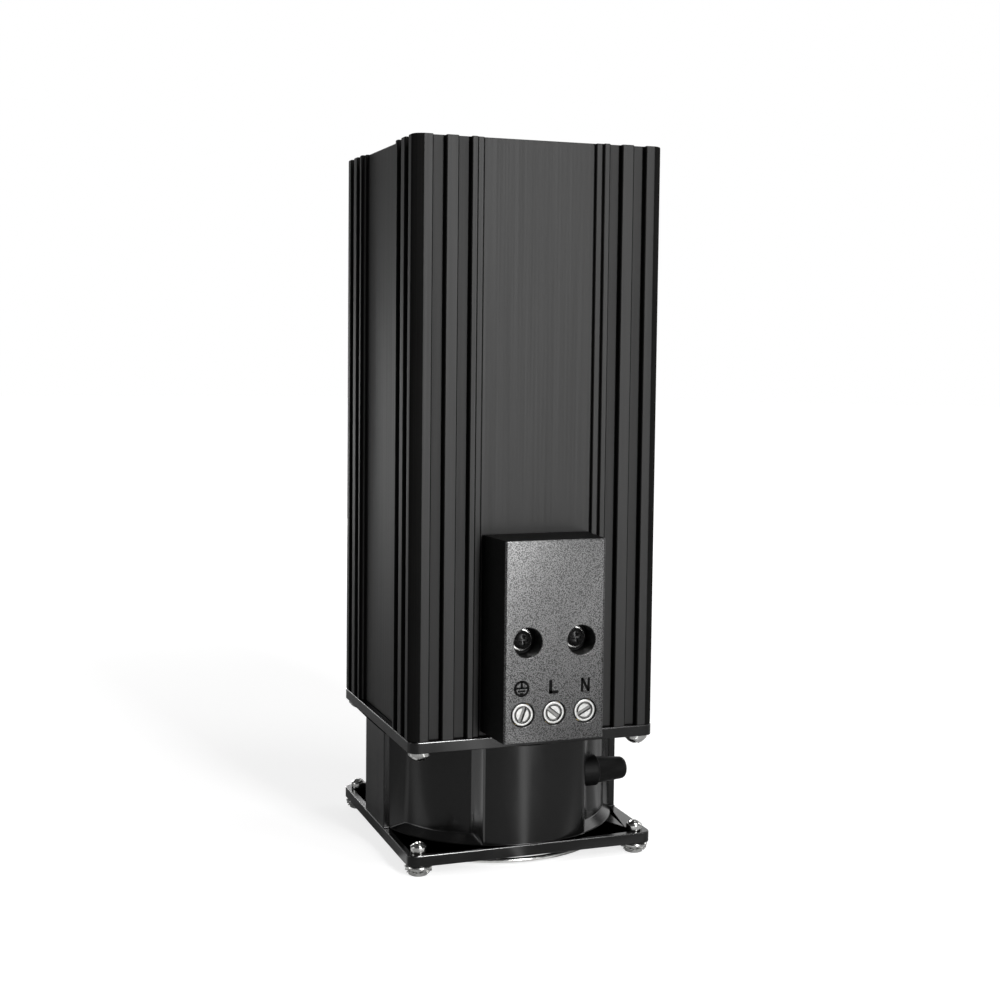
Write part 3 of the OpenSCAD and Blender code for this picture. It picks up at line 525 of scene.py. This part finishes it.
def placeOf(node):  # a node's lowest and highest corner in mm
    return [np.array(corner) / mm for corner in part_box(node)]


# A new piece from points in mm; it stands for the CAD nodes that it names
def addPiece(name, shape, slot, stands=(), body="heater", material=None, sharp=35):
    points, faces = shape
    mesh = bpy.data.meshes.new(name)
    mesh.from_pydata((points * mm).tolist(), [], faces.tolist())
    work = bmesh.new()
    work.from_mesh(mesh)
    bmesh.ops.remove_doubles(work, verts=work.verts, dist=1e-7)
    bmesh.ops.dissolve_degenerate(work, edges=work.edges, dist=1e-8)
    bmesh.ops.recalc_face_normals(work, faces=work.faces)
    return finishPiece(name, mesh, work, slot, stands, body, material, sharp)


def finishPiece(name, mesh, work, slot, stands, body, material, sharp):
    for face in work.faces:
        face.smooth = True
    work.to_mesh(mesh)
    work.free()
    mesh.set_sharp_from_angle(angle=math.radians(sharp))
    mesh.materials.clear()
    mesh.materials.append(material or finishes[slot])
    piece = bpy.data.objects.new(name, mesh)
    bpy.context.scene.collection.objects.link(piece)
    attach(piece, body)
    if stands:
        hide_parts(*stands)
    return piece


# A merged copy of a CAD node with its sharp edges rounded
def roundedCopy(name, node, width, segments=2, angle=40):
    mesh = bpy.data.meshes.new(name)
    work = bmesh.new()
    work.from_mesh(frame["nodes"][node].data)
    for layer in list(work.loops.layers.uv):
        work.loops.layers.uv.remove(layer)
    bmesh.ops.remove_doubles(work, verts=work.verts, dist=1e-6)
    bmesh.ops.dissolve_limit(work, angle_limit=math.radians(0.3), verts=work.verts, edges=work.edges)
    piece = finishPiece(name, mesh, work, slotOf[node], (node,), bodyOf[node], None, angle)
    normals = mesh.attributes.get("custom_normal")
    if normals:
        mesh.attributes.remove(normals)
    soft = piece.modifiers.new("softEdges", "BEVEL")
    soft.limit_method = "ANGLE"
    soft.angle_limit = math.radians(angle)
    soft.width = width * mm
    soft.segments = segments
    soft.use_clamp_overlap = False
    soft.harden_normals = True
    return piece


# Castings, mouldings and the extrusion keep their CAD form, with broken edges
roundedNodes = {  # the piece's name and the width of its edges in mm
    "heater_profile": ("heaterProfile", 0.35),
    "terminal_housing": ("terminalBox", 0.35),
    "fan_frame": ("fanFrame", 0.3),
    "rail_clip": ("railClip", 0.35),
    "impeller": ("fanImpeller", 0.2),
    "terminal_cages": ("terminalCages", 0.12),
    "overheat_switch": ("overheatSwitch", 0.4),
    "channel_seals": ("channelSeals", 0.25),
    "lower_bearing": ("lowerBearing", 0.12),
    "upper_bearing": ("upperBearing", 0.12),
    "bearing_cap": ("bearingCap", 0.15),
}
for node, (name, width) in roundedNodes.items():
    roundedCopy(name, node, width)
print("rounded copies:", len(roundedNodes))


# Cross-head screws. The head's height is h - (ball - sqrt(ball^2 - r^2)),
# less the depth of a cross with soft walls
def panScrew(size):
    head, height = size["headRadius"], size["headHeight"]
    thread, length = size["threadRadius"], size["threadLength"]
    rise = height * size["domeShare"]
    ball = (head * head + rise * rise) / (2 * rise)
    radius = np.linspace(0, head - size["edge"], 26)[:, None]
    around = angles(96)[None, :]
    x, y = radius * np.cos(around), radius * np.sin(around)
    wall = size["crossWall"]

    def bar(along, across):
        inLength = np.clip((size["crossLength"] / 2 - abs(along)) / wall + 0.5, 0, 1)
        return np.minimum(inLength, np.clip((size["crossWidth"] / 2 - abs(across)) / wall + 0.5, 0, 1))

    cross = np.maximum(bar(x, y), bar(y, x))
    hollow = np.clip(1 - (radius / (size["crossReach"] * size["crossLength"])) ** 2, size["crossLeast"], 1)
    dome = height - (ball - np.sqrt(ball * ball - radius * radius)) - size["crossDepth"] * cross * hollow
    top = ringPoints(radius, around, dome)
    shoulder = height - (ball - math.sqrt(ball * ball - (head - size["edge"]) ** 2))
    side = arc((head - size["edge"], shoulder - size["edge"]), size["edge"], 70, 0, 4)
    side += [(head, size["footHeight"]), (head - size["footInset"], 0), (thread + size["neck"], 0)]
    sides = profilePoints(side, around)
    # thread: the radius runs between root and crest with the height and the angle
    threadRows = int(length / size["threadPitch"] * 6)
    down = np.linspace(0, length - thread * (1 - size["tipShare"]), threadRows)[:, None]
    phase = (down / size["threadPitch"] + around / (2 * np.pi)) % 1
    threadRadius = thread - size["threadDepth"] * abs(2 * phase - 1) ** 1.5
    shank = ringPoints(threadRadius, around, -down)
    tips = profilePoints([(thread * size["tipShare"], -length), (0, -length)], around)
    return gridShape(np.concatenate([top, sides, shank, tips]))


smallScrew = {  # mm
    "headRadius": 2.8, "headHeight": 2.0, "domeShare": 0.55, "edge": 0.25,
    "crossLength": 3.0, "crossWidth": 0.7, "crossDepth": 1.1, "crossWall": 0.22,
    "threadRadius": 1.5, "threadPitch": 0.6, "threadDepth": 0.25,
    "footHeight": 0.2, "footInset": 0.15, "neck": 0.05,
    "crossReach": 0.75, "crossLeast": 0.3, "tipShare": 0.7,  # shares
}
cornerScrew = {
    **smallScrew, "headRadius": 3.5, "headHeight": 3.2, "domeShare": 0.8, "edge": 0.35,
    "crossLength": 3.6, "crossWidth": 0.85, "threadRadius": 1.75, "threadPitch": 0.9,
}


def screwLength(node, axis, headHeight):
    low, high = placeOf(node)
    return high[axis] - low[axis] - headHeight


def cornerPlaces(at, z):
    return [(x, y, z) for x in (-at, at) for y in (-at, at)]


guardHigh = placeOf("guard_screws")[1]
guardHead = {**smallScrew, "headRadius": 2.5, "headHeight": 3.0, "edge": 0.4, "domeShare": 0.5}  # mm
cornerAt = guardHigh[0] - guardHead["headRadius"]
guardSeat = guardHigh[2] - guardHead["headHeight"]
guardScrew = {**guardHead, "threadLength": screwLength("guard_screws", 2, guardHead["headHeight"])}
guardShape = copied(panScrew(guardScrew), cornerPlaces(cornerAt, guardSeat))
addPiece("guardScrews", guardShape, "bright_steel", ("guard_screws",))

mountLow = placeOf("fan_mount_screws")[0]
mountScrew = {**cornerScrew, "threadLength": screwLength("fan_mount_screws", 2, cornerScrew["headHeight"])}
mountSeat = mountLow[2] + cornerScrew["headHeight"]
mountShape = copied(panScrew(mountScrew), cornerPlaces(cornerAt, mountSeat), "down")
addPiece("fanMountScrews", mountShape, "bright_steel", ("fan_mount_screws",))

coverLow, coverHigh = placeOf("cover_screws")
coverX, coverZ = coverHigh[0] - smallScrew["headRadius"], (coverLow[2] + coverHigh[2]) / 2
coverScrew = {**smallScrew, "threadLength": screwLength("cover_screws", 1, smallScrew["headHeight"])}
coverSeat = coverLow[1] + smallScrew["headHeight"]
coverShape = copied(panScrew(coverScrew), [(x, coverSeat, coverZ) for x in (-coverX, coverX)], "front")
addPiece("coverScrews", coverShape, "black_screw", ("cover_screws",))

clipLow, clipHigh = placeOf("rail_clip_screws")
clipScrew = {**smallScrew, "threadLength": screwLength("rail_clip_screws", 1, smallScrew["headHeight"])}
clipPlaces = [(0, clipHigh[1] - smallScrew["headHeight"], z)
              for z in (clipLow[2] + smallScrew["headRadius"], clipHigh[2] - smallScrew["headRadius"])]
clipShape = copied(panScrew(clipScrew), clipPlaces, "back")
addPiece("railClipScrews", clipShape, "bright_steel", ("rail_clip_screws",))
print("cross-head screws done")


# Flat washers under the cover screws: a section with round edges turned about Z
def flatWasher(hole, outer, thick, edge):
    section = (arc((hole + edge, edge), edge, 270, 180, 4) + arc((hole + edge, thick - edge), edge, 180, 90, 4)
               + arc((outer - edge, thick - edge), edge, 90, 0, 4) + arc((outer - edge, edge), edge, 0, -90, 4))
    return turned(section, 72, closedRows=True)


coverWasher = {"hole": 1.7, "edge": 0.15}  # mm
washerLow, washerHigh = placeOf("cover_washers")
washerThick = washerHigh[1] - washerLow[1]
washerOuter = (washerHigh[2] - washerLow[2]) / 2
washerShape = flatWasher(coverWasher["hole"], washerOuter, washerThick, coverWasher["edge"])
addPiece("coverWashers", copied(washerShape, [(x, washerHigh[1], coverZ) for x in (-coverX, coverX)], "front"),
         "bright_steel", ("cover_washers",))


# Slotted terminal screws: a rim, a groove, a face and a slot across it,
# as a height over the radius and the angle
terminalScrew = {  # mm
    "rim": 0.85, "grooveWidth": 0.45, "grooveDepth": 0.5, "dish": 0.15,
    "slotWidth": 1.15, "slotDepth": 0.9, "wall": 0.24,
    "edge": 0.3, "foot": 0.1, "thread": 1.75, "slotTurns": (70, -38, 28),  # degrees
}


def slottedHead(size, head, height, length, turnDegrees):
    around = angles(144)[None, :]
    radius = np.linspace(0, head - size["edge"], 44)[:, None]
    x, y = radius * np.cos(around), radius * np.sin(around)
    turn = math.radians(turnDegrees)
    across = abs(y * math.cos(turn) - x * math.sin(turn))
    face = head - size["rim"]
    inFace = np.clip((face - radius) / size["wall"] + 0.5, 0, 1)
    grooveHalf = size["grooveWidth"] / 2
    inGroove = np.clip((grooveHalf - abs(radius - face + grooveHalf)) / size["wall"] + 0.5, 0, 1)
    inSlot = np.clip((size["slotWidth"] / 2 - across) / size["wall"] + 0.5, 0, 1) * inFace
    sunk = np.maximum(size["dish"] * inFace + size["grooveDepth"] * inGroove, size["slotDepth"] * inSlot)
    top = ringPoints(radius, around, height - sunk)
    side = arc((head - size["edge"], height - size["edge"]), size["edge"], 75, 0, 5)
    side += [(head, size["foot"]), (head - size["foot"], 0)]
    side += [(size["thread"], 0), (size["thread"], -length), (0, -length)]
    return gridShape(np.concatenate([top, profilePoints(side, around)]))


terminalLow, terminalHigh = placeOf("terminal_screws")
terminalRadius = (terminalHigh[2] - terminalLow[2]) / 2
terminalPitch = terminalHigh[0] - terminalRadius
terminalZ = terminalLow[2] + terminalRadius
cageFront = placeOf("terminal_cages")[0][1]
headHeight, shankLength = cageFront - terminalLow[1], terminalHigh[1] - cageFront
terminalHeads = []
for turn, x in zip(terminalScrew["slotTurns"], (-terminalPitch, 0, terminalPitch)):
    shape = slottedHead(terminalScrew, terminalRadius, headHeight, shankLength, turn)
    terminalHeads.append(copied(shape, [(x, cageFront, terminalZ)], "front"))
addPiece("terminalScrews", joined(terminalHeads), "terminal_plating", ("terminal_screws",))
print("terminal screws done")


# Nuts: the outer radius follows the six flats, and both faces are chamfered towards the corners
guardNut = {  # mm and shares
    "across": 5.5, "hole": 1.5, "chamfer": 0.3, "cutEdge": 0.05, "cutShare": 0.6, "faceShare": 0.96,
}


def hexNut(size, height):
    around = angles(96)[None, :]
    flats = size["across"] / 2 / np.cos(around % (np.pi / 3) - np.pi / 6)
    cut = (flats - size["across"] / 2) * size["cutShare"] + size["cutEdge"]
    inner, lead = size["hole"], size["chamfer"]
    face = np.full_like(flats, size["across"] / 2 * size["faceShare"])
    rows = [(inner, lead), (inner + lead, 0.0), (face, 0.0), (flats, cut), (flats, height - cut),
            (face, height), (inner + lead, height), (inner, height - lead)]
    points = [ringPoints(radius, around, level + 0 * around) for radius, level in rows]
    return gridShape(np.concatenate(points), closedRows=True)


nutLow, nutHigh = placeOf("guard_nuts")
addPiece("guardNuts", copied(hexNut(guardNut, nutHigh[2] - nutLow[2]), cornerPlaces(cornerAt, nutLow[2])),
         "bright_steel", ("guard_nuts",))

# Toothed washers: the rim falls back between the teeth, and each tooth is twisted out of the ring's plane
toothedWasher = {  # mm
    "hole": 1.7, "teeth": 10, "toothLength": 0.9, "twist": 0.32, "edge": 0.08,
    "toothHalf": 0.27, "gapSoft": 0.06,  # shares of the way from tooth to tooth
}


def starWasher(size, outer, thick):
    around = angles(size["teeth"] * 24)[None, :]
    inTooth = (around * size["teeth"] / (2 * np.pi)) % 1 - 0.5
    gap = np.clip((abs(inTooth) - size["toothHalf"]) / size["gapSoft"] + 0.5, 0, 1)
    tilt = np.clip(inTooth / size["toothHalf"], -1, 1)
    root = outer - size["toothLength"]
    share = np.linspace(0, 1, 9)[:, None]  # from the hole to the rim
    rim = outer - size["toothLength"] * gap
    onRing = size["hole"] + (root - size["hole"]) * share * 2
    radius = np.where(share < 0.5, onRing, root + (rim - root) * (share * 2 - 1))
    lift = size["twist"] * tilt * np.clip(share * 2 - 1, 0, 1) * (1 - gap)
    ease = np.where((share == 0) | (share == 1), size["edge"], 0)
    lower = ringPoints(radius, around, lift + ease)
    upper = ringPoints(radius, around, lift + thick - ease)
    return gridShape(np.concatenate([lower, upper[::-1]]), closedRows=True)


starLow, starHigh = placeOf("lock_washers")
starOuter = starHigh[0] - cornerAt
starShape = starWasher(toothedWasher, starOuter, starHigh[2] - starLow[2])
starPlaces = cornerPlaces(cornerAt, starLow[2])
addPiece("lockWashers", copied(starShape, starPlaces), "bright_steel", ("lock_washers",))
print("feet done")

# Finger guard: wire rings, four arms with round ends and a loop at each corner
fingerGuard = {  # mm
    "ringWire": 1.5, "armWire": 1.5, "loopWire": 1.7, "ringPitch": 9.0, "rings": 4, "loopRadius": 3.4,
    "ringOut": 1.25, "armBite": 0.4, "armTurns": (45, 135, 225, 315),  # degrees
}


def wireRing(radius, wire, z, steps):  # a circle turned about Z
    a = angles(20)
    section = np.stack([radius + wire / 2 * np.cos(a), z + wire / 2 * np.sin(a)], -1)
    return turned(section, steps, closedRows=True)


def wireRod(wire, start, end):  # along X, with round ends
    half = wire / 2
    return turned(arc((0, start + half), half, 270, 360, 6) + arc((0, end - half), half, 0, 90, 6), 20)


wireLow, wireHigh = placeOf("finger_guard")
armZ = wireHigh[2] - fingerGuard["loopWire"] / 2
ringZ = wireLow[2] + fingerGuard["ringWire"] / 2
ringRadius = cornerAt + fingerGuard["ringOut"]
ringRadii = [ringRadius - i * fingerGuard["ringPitch"] for i in range(fingerGuard["rings"])]
wires = [wireRing(radius, fingerGuard["ringWire"], ringZ, 160) for radius in ringRadii]
loop = wireRing(fingerGuard["loopRadius"], fingerGuard["loopWire"], armZ, 64)
wires += [copied(loop, cornerPlaces(cornerAt, 0))]
armStart = ringRadii[-1] - fingerGuard["ringWire"]
armEnd = cornerAt * math.sqrt(2) - fingerGuard["loopRadius"] + fingerGuard["armBite"]
armPoints, armFaces = copied(wireRod(fingerGuard["armWire"], armStart, armEnd), [(0, 0, armZ)], "right")
for turn in np.radians(fingerGuard["armTurns"]):
    spin = np.array(((math.cos(turn), -math.sin(turn), 0), (math.sin(turn), math.cos(turn), 0), (0, 0, 1)))
    wires.append((armPoints @ spin.T, armFaces))
addPiece("fingerGuard", joined(wires), "guard_wire", ("finger_guard",))
print("finger guard done")

# Lead sleeve: turned about its own axis, with its root cut along the fan:
# x is at least sqrt(R^2 - y^2) on the barrel and at least edge + slope (y + half) beside the panel
leadSleeve = {  # mm
    "collar": 4.9, "collarEnd": 25.2, "root": 4.2, "end": 3.5, "round": 1.7, "start": 17.5, "edge": 0.4,
    "barrel": 36.4, "panelEdge": 15.9, "panelSlope": 0.5, "panelAt": 40.0, "lead": 1.0,
    "crease": ((0.15, 0.05), (0.0, 0.3)),  # outside the root and past the collar
    "coreShare": 0.6,
}


def sleeveShape(size, reach, y, z):
    start, collar, shoulder = size["start"], size["collar"], size["collarEnd"] - size["edge"]
    profile = [(0, start), (collar * size["coreShare"], start), (collar, start)]
    profile += [(collar, x) for x in np.linspace(start + size["lead"], shoulder, 8)]
    profile += arc((collar - size["edge"], shoulder), size["edge"], 0, 80, 5)
    profile += [(size["root"] + beside, size["collarEnd"] + past) for beside, past in size["crease"]]
    profile += [(size["end"], reach - size["round"])]
    profile += arc((size["end"] - size["round"], reach - size["round"]), size["round"], 15, 90, 7)
    profile += [(0, reach)]
    points, faces = copied(turned(profile, 72), [(0, y, z)], "right")
    barrel = np.sqrt(size["barrel"] ** 2 - np.minimum(abs(points[:, 1]), size["barrel"]) ** 2)
    panel = size["panelEdge"] + size["panelSlope"] * (points[:, 1] + size["panelAt"])
    points[:, 0] = np.maximum(points[:, 0], np.maximum(barrel, np.where(points[:, 1] < y, panel, 0)))
    return points, faces


sleeveLow, sleeveHigh = placeOf("lead_sleeve")
sleeveY, sleeveZ = sleeveLow[1] + leadSleeve["collar"], (sleeveLow[2] + sleeveHigh[2]) / 2
sleeve = sleeveShape(leadSleeve, sleeveHigh[0], sleeveY, sleeveZ)
addPiece("leadSleeve", sleeve, "sleeve_rubber", ("lead_sleeve",))
print("lead sleeve done")

# Terminal marks: flat strokes and a ring on the box's front, over the terminals
terminalMarks = {  # mm
    "height": 4.2, "rise": 7.9, "stroke": 1.0, "thin": 0.72, "proud": 0.06, "sunk": 0.1,
    "earthRadius": 2.45, "earthShift": -0.5,
    "earthBars": ((0.15, 2.0), (-0.75, 1.2), (-1.5, 0.6)),  # height and reach of each
    "slimShare": 0.75, "liveShare": 0.6, "neutralShare": 0.5,
}


def stroke(x0, z0, x1, z1, width, size):  # a bar from point to point with a thickness along Y
    along = np.array((x1 - x0, z1 - z0)) / math.hypot(x1 - x0, z1 - z0)
    side = np.array((-along[1], along[0])) * width / 2
    outline = np.array([(x0, z0), (x1, z1), (x1, z1), (x0, z0)]) + np.array([side, side, -side, -side])
    front, back = np.full(4, -size["proud"]), np.full(4, size["sunk"])
    points = np.concatenate([np.stack([outline[:, 0], depth, outline[:, 1]], -1) for depth in (front, back)])
    faces = np.array([(0, 1, 2, 3), (7, 6, 5, 4), (0, 4, 5, 1), (1, 5, 6, 2), (2, 6, 7, 3), (3, 7, 4, 0)])
    return points, faces


def markShapes(size):
    half, w, thin, ring = size["height"] / 2, size["stroke"], size["thin"], size["earthRadius"]
    low, high = -size["sunk"], size["proud"]
    ringSection = [(ring - thin, low), (ring, low), (ring, high), (ring - thin, high)]
    earth = [copied(turned(ringSection, 64, closedRows=True), [(0, 0, 0)], "front"),
             stroke(0, ring - thin / 2, 0, size["earthBars"][0][0], thin, size)]
    for z, reach in size["earthBars"]:
        earth.append(stroke(-reach, z, reach, z, thin * size["slimShare"], size))
    earth = [(points + np.array((size["earthShift"], 0, 0)), faces) for points, faces in earth]
    right, foot = half * size["liveShare"], -half + w / 2
    live = [stroke(-right, half, -right, -half, w, size), stroke(-right - w / 2, foot, right, foot, w, size)]
    wide, slim = half * size["neutralShare"], w * size["slimShare"]
    neutral = [stroke(side * wide, -half, side * wide, half, slim, size) for side in (-1, 1)]
    neutral += [stroke(-wide, half, wide, -half, slim, size)]
    return earth, live, neutral


markZ = terminalZ + terminalMarks["rise"]
marks = [copied(joined(shapes), [(x, boxFront, markZ)])
         for shapes, x in zip(markShapes(terminalMarks), (-terminalPitch, 0, terminalPitch))]
addPiece("terminalMarks", joined(marks), "grained_plastic", material=markInk())
print("marks done")

# CAD nodes that show as they are, or lie inside, get their finish
for node, piece in frame["nodes"].items():
    piece.data.materials.clear()
    piece.data.materials.append(finishes[slotOf[node]])

# Studio: a tall strip as the key light, soft panels above, beside and behind,
# a room that is dim in front and white behind, and a pale floor
studio = {
    "target": (0, 0, 110),  # mm
    "room": 0.06,
    "backdrop": 1.0,
    "backdropBounce": 0.6,
    "backdropAzimuth": 158,  # degrees
    "backdropEdge": (0.64, 0.95),  # cosines of the angles from its middle where it fades in
    "backdropFloor": (0.05, 0.5),  # m; where the floor before it fades in
    "floor": 0.5,
    "floorLift": (0.76, 1.0),  # under the heater and far away, in what the camera sees
    "mirrorLift": (0.0, 0.8),  # the same in what shiny pieces show
    "liftRadius": (0.2, 0.7),  # m
    # images of lamps in the floor: where each starts (m), its azimuth, how far beside that
    # it is full and gone (degrees), and its level
    "floorImages": (
        (-0.003, -0.039, 11, 2.5, 7.0, 2.4),
        (0.1265, -0.0792, -107.5, 1.4, 2.8, 0.5),
        (0.036, -0.013, 110, 2.0, 6.0, 0.6),
    ),
    "farImage": (0.0, -0.055, 22, 10, 22, 5.2),  # the same for a lamp that lies farther away
    "farReach": (0.32, 0.75, 0.95, 1.3),  # m; where that lamp's image begins, is full, fades and ends
}
# Azimuth from the front towards +X and elevation in degrees, then distance, width and height in m, and radiance
panels = {
    "keyStrip": (11, 18, 0.9, 0.125, 0.85, 22.0),
    "overheadPanel": (40, 62, 0.8, 0.3, 0.3, 7.0),
    "leftPanel": (-94, 16, 0.9, 0.3, 0.7, 2.6),
    "rightPanel": (97, 16, 0.9, 0.3, 0.7, 2.6),
    "backPanel": (178, -1, 0.9, 0.5, 0.18, 5.0),
}


def addPanel(name, azimuth, elevation, distance, width, height, radiance):
    turn, rise = math.radians(azimuth), math.radians(elevation)
    back = Vector((math.sin(turn) * math.cos(rise), -math.cos(turn) * math.cos(rise), math.sin(rise)))
    lamp = bpy.data.lights.new(name, "AREA")
    lamp.shape = "RECTANGLE"
    lamp.size, lamp.size_y = width, height
    lamp.energy = radiance * math.pi * width * height
    panel = bpy.data.objects.new(name, lamp)
    panel.location = Vector(studio["target"]) * mm + back * distance
    panel.rotation_euler = back.to_track_quat("Z", "Y").to_euler()
    panel.visible_camera = False
    bpy.context.scene.collection.objects.link(panel)


for name, values in panels.items():
    addPanel(name, *values)


def mirrorRays(wire):  # 1 for what metal and glass show
    glossy = wire.node("ShaderNodeLightPath", output="Is Glossy Ray")
    return glossy + wire.node("ShaderNodeLightPath", output="Is Transmission Ray")


def makeWorld():
    world = bpy.data.worlds.new("studioRoom")
    bpy.context.scene.world = world
    world.use_nodes = True
    tree = world.node_tree
    tree.nodes.clear()
    direction = Wire(tree).node("ShaderNodeTexCoord", output="Generated")
    x, y = (along(direction, axis) for axis in "XY")
    seen = direction.node("ShaderNodeLightPath", output="Is Camera Ray")
    mirrored = mirrorRays(direction)
    turn = math.radians(studio["backdropAzimuth"])
    behind = remap(x * math.sin(turn) - y * math.cos(turn), *studio["backdropEdge"], 0, 1)
    bounce, backdrop = studio["backdropBounce"], studio["backdrop"]
    level = behind * (mirrored * (backdrop - bounce) + bounce) + studio["room"]
    room = direction.node("ShaderNodeBackground", {}, {"Color": grey(1), "Strength": level})
    white = direction.node("ShaderNodeBackground", {}, {"Color": grey(1), "Strength": 1.0})
    everything = direction.node("ShaderNodeMixShader", {}, {0: seen, 1: room, 2: white})
    direction.node("ShaderNodeOutputWorld", {}, {"Surface": everything})


makeWorld()


# The floor glows where it is background, so that it runs into the white behind it and keeps the heater's shadow
def paleFloor():
    material = bpy.data.materials.new("paleFloor")
    material.use_nodes = True
    tree = material.node_tree
    tree.nodes.clear()
    spot = Wire(tree).node("ShaderNodeTexCoord", output="Object")
    seen = spot.node("ShaderNodeLightPath", output="Is Camera Ray")
    mirrored = mirrorRays(spot)
    away = spot.node("ShaderNodeVectorMath", {"operation": "LENGTH"}, {0: spot}, "Value")
    parts = [along(spot, axis) for axis in "XY"]

    def lampImage(startX, startY, place, full, gone, level):
        azimuth = spot.math("ARCTAN2", parts[0] - startX, startY - parts[1]) * math.degrees(1)
        return remap(spot.math("ABSOLUTE", azimuth - place), full, gone, level, 0)

    begins, full, fades, ends = studio["farReach"]
    images = lampImage(*studio["farImage"]) * (remap(away, begins, full, 0, 1) * remap(away, fades, ends, 1, 0))
    for values in studio["floorImages"]:
        images = images + lampImage(*values)
    turn = math.radians(studio["backdropAzimuth"])
    behind = remap(parts[0] * math.sin(turn) - parts[1] * math.cos(turn), *studio["backdropFloor"], 0, 1)
    lifts = [remap(away, *studio["liftRadius"], *studio[key]) for key in ("floorLift", "mirrorLift")]
    mottle = tone(noise(spot, 60, 2), grey(studio["floor"] * 0.99), grey(studio["floor"]))
    cover = spot.node("ShaderNodeBsdfDiffuse", {}, {"Color": mottle})
    strength = seen * lifts[0] + mirrored * (lifts[1] * behind + images)
    glow = spot.node("ShaderNodeEmission", {}, {"Color": grey(1), "Strength": strength})
    both = spot.node("ShaderNodeAddShader", {}, {0: cover, 1: glow})
    spot.node("ShaderNodeOutputMaterial", {}, {"Surface": both})
    return material


floorRadius = 4.0  # m
floorPoints, floorFaces = turned([(0, 0), (floorRadius / mm, 0)], 96)
floorMesh = bpy.data.meshes.new("floor")
floorMesh.from_pydata((floorPoints * mm).tolist(), [], floorFaces.tolist())
floorMesh.materials.append(paleFloor())
floor = bpy.data.objects.new("floor", floorMesh)
bpy.context.scene.collection.objects.link(floor)
print("studio set")
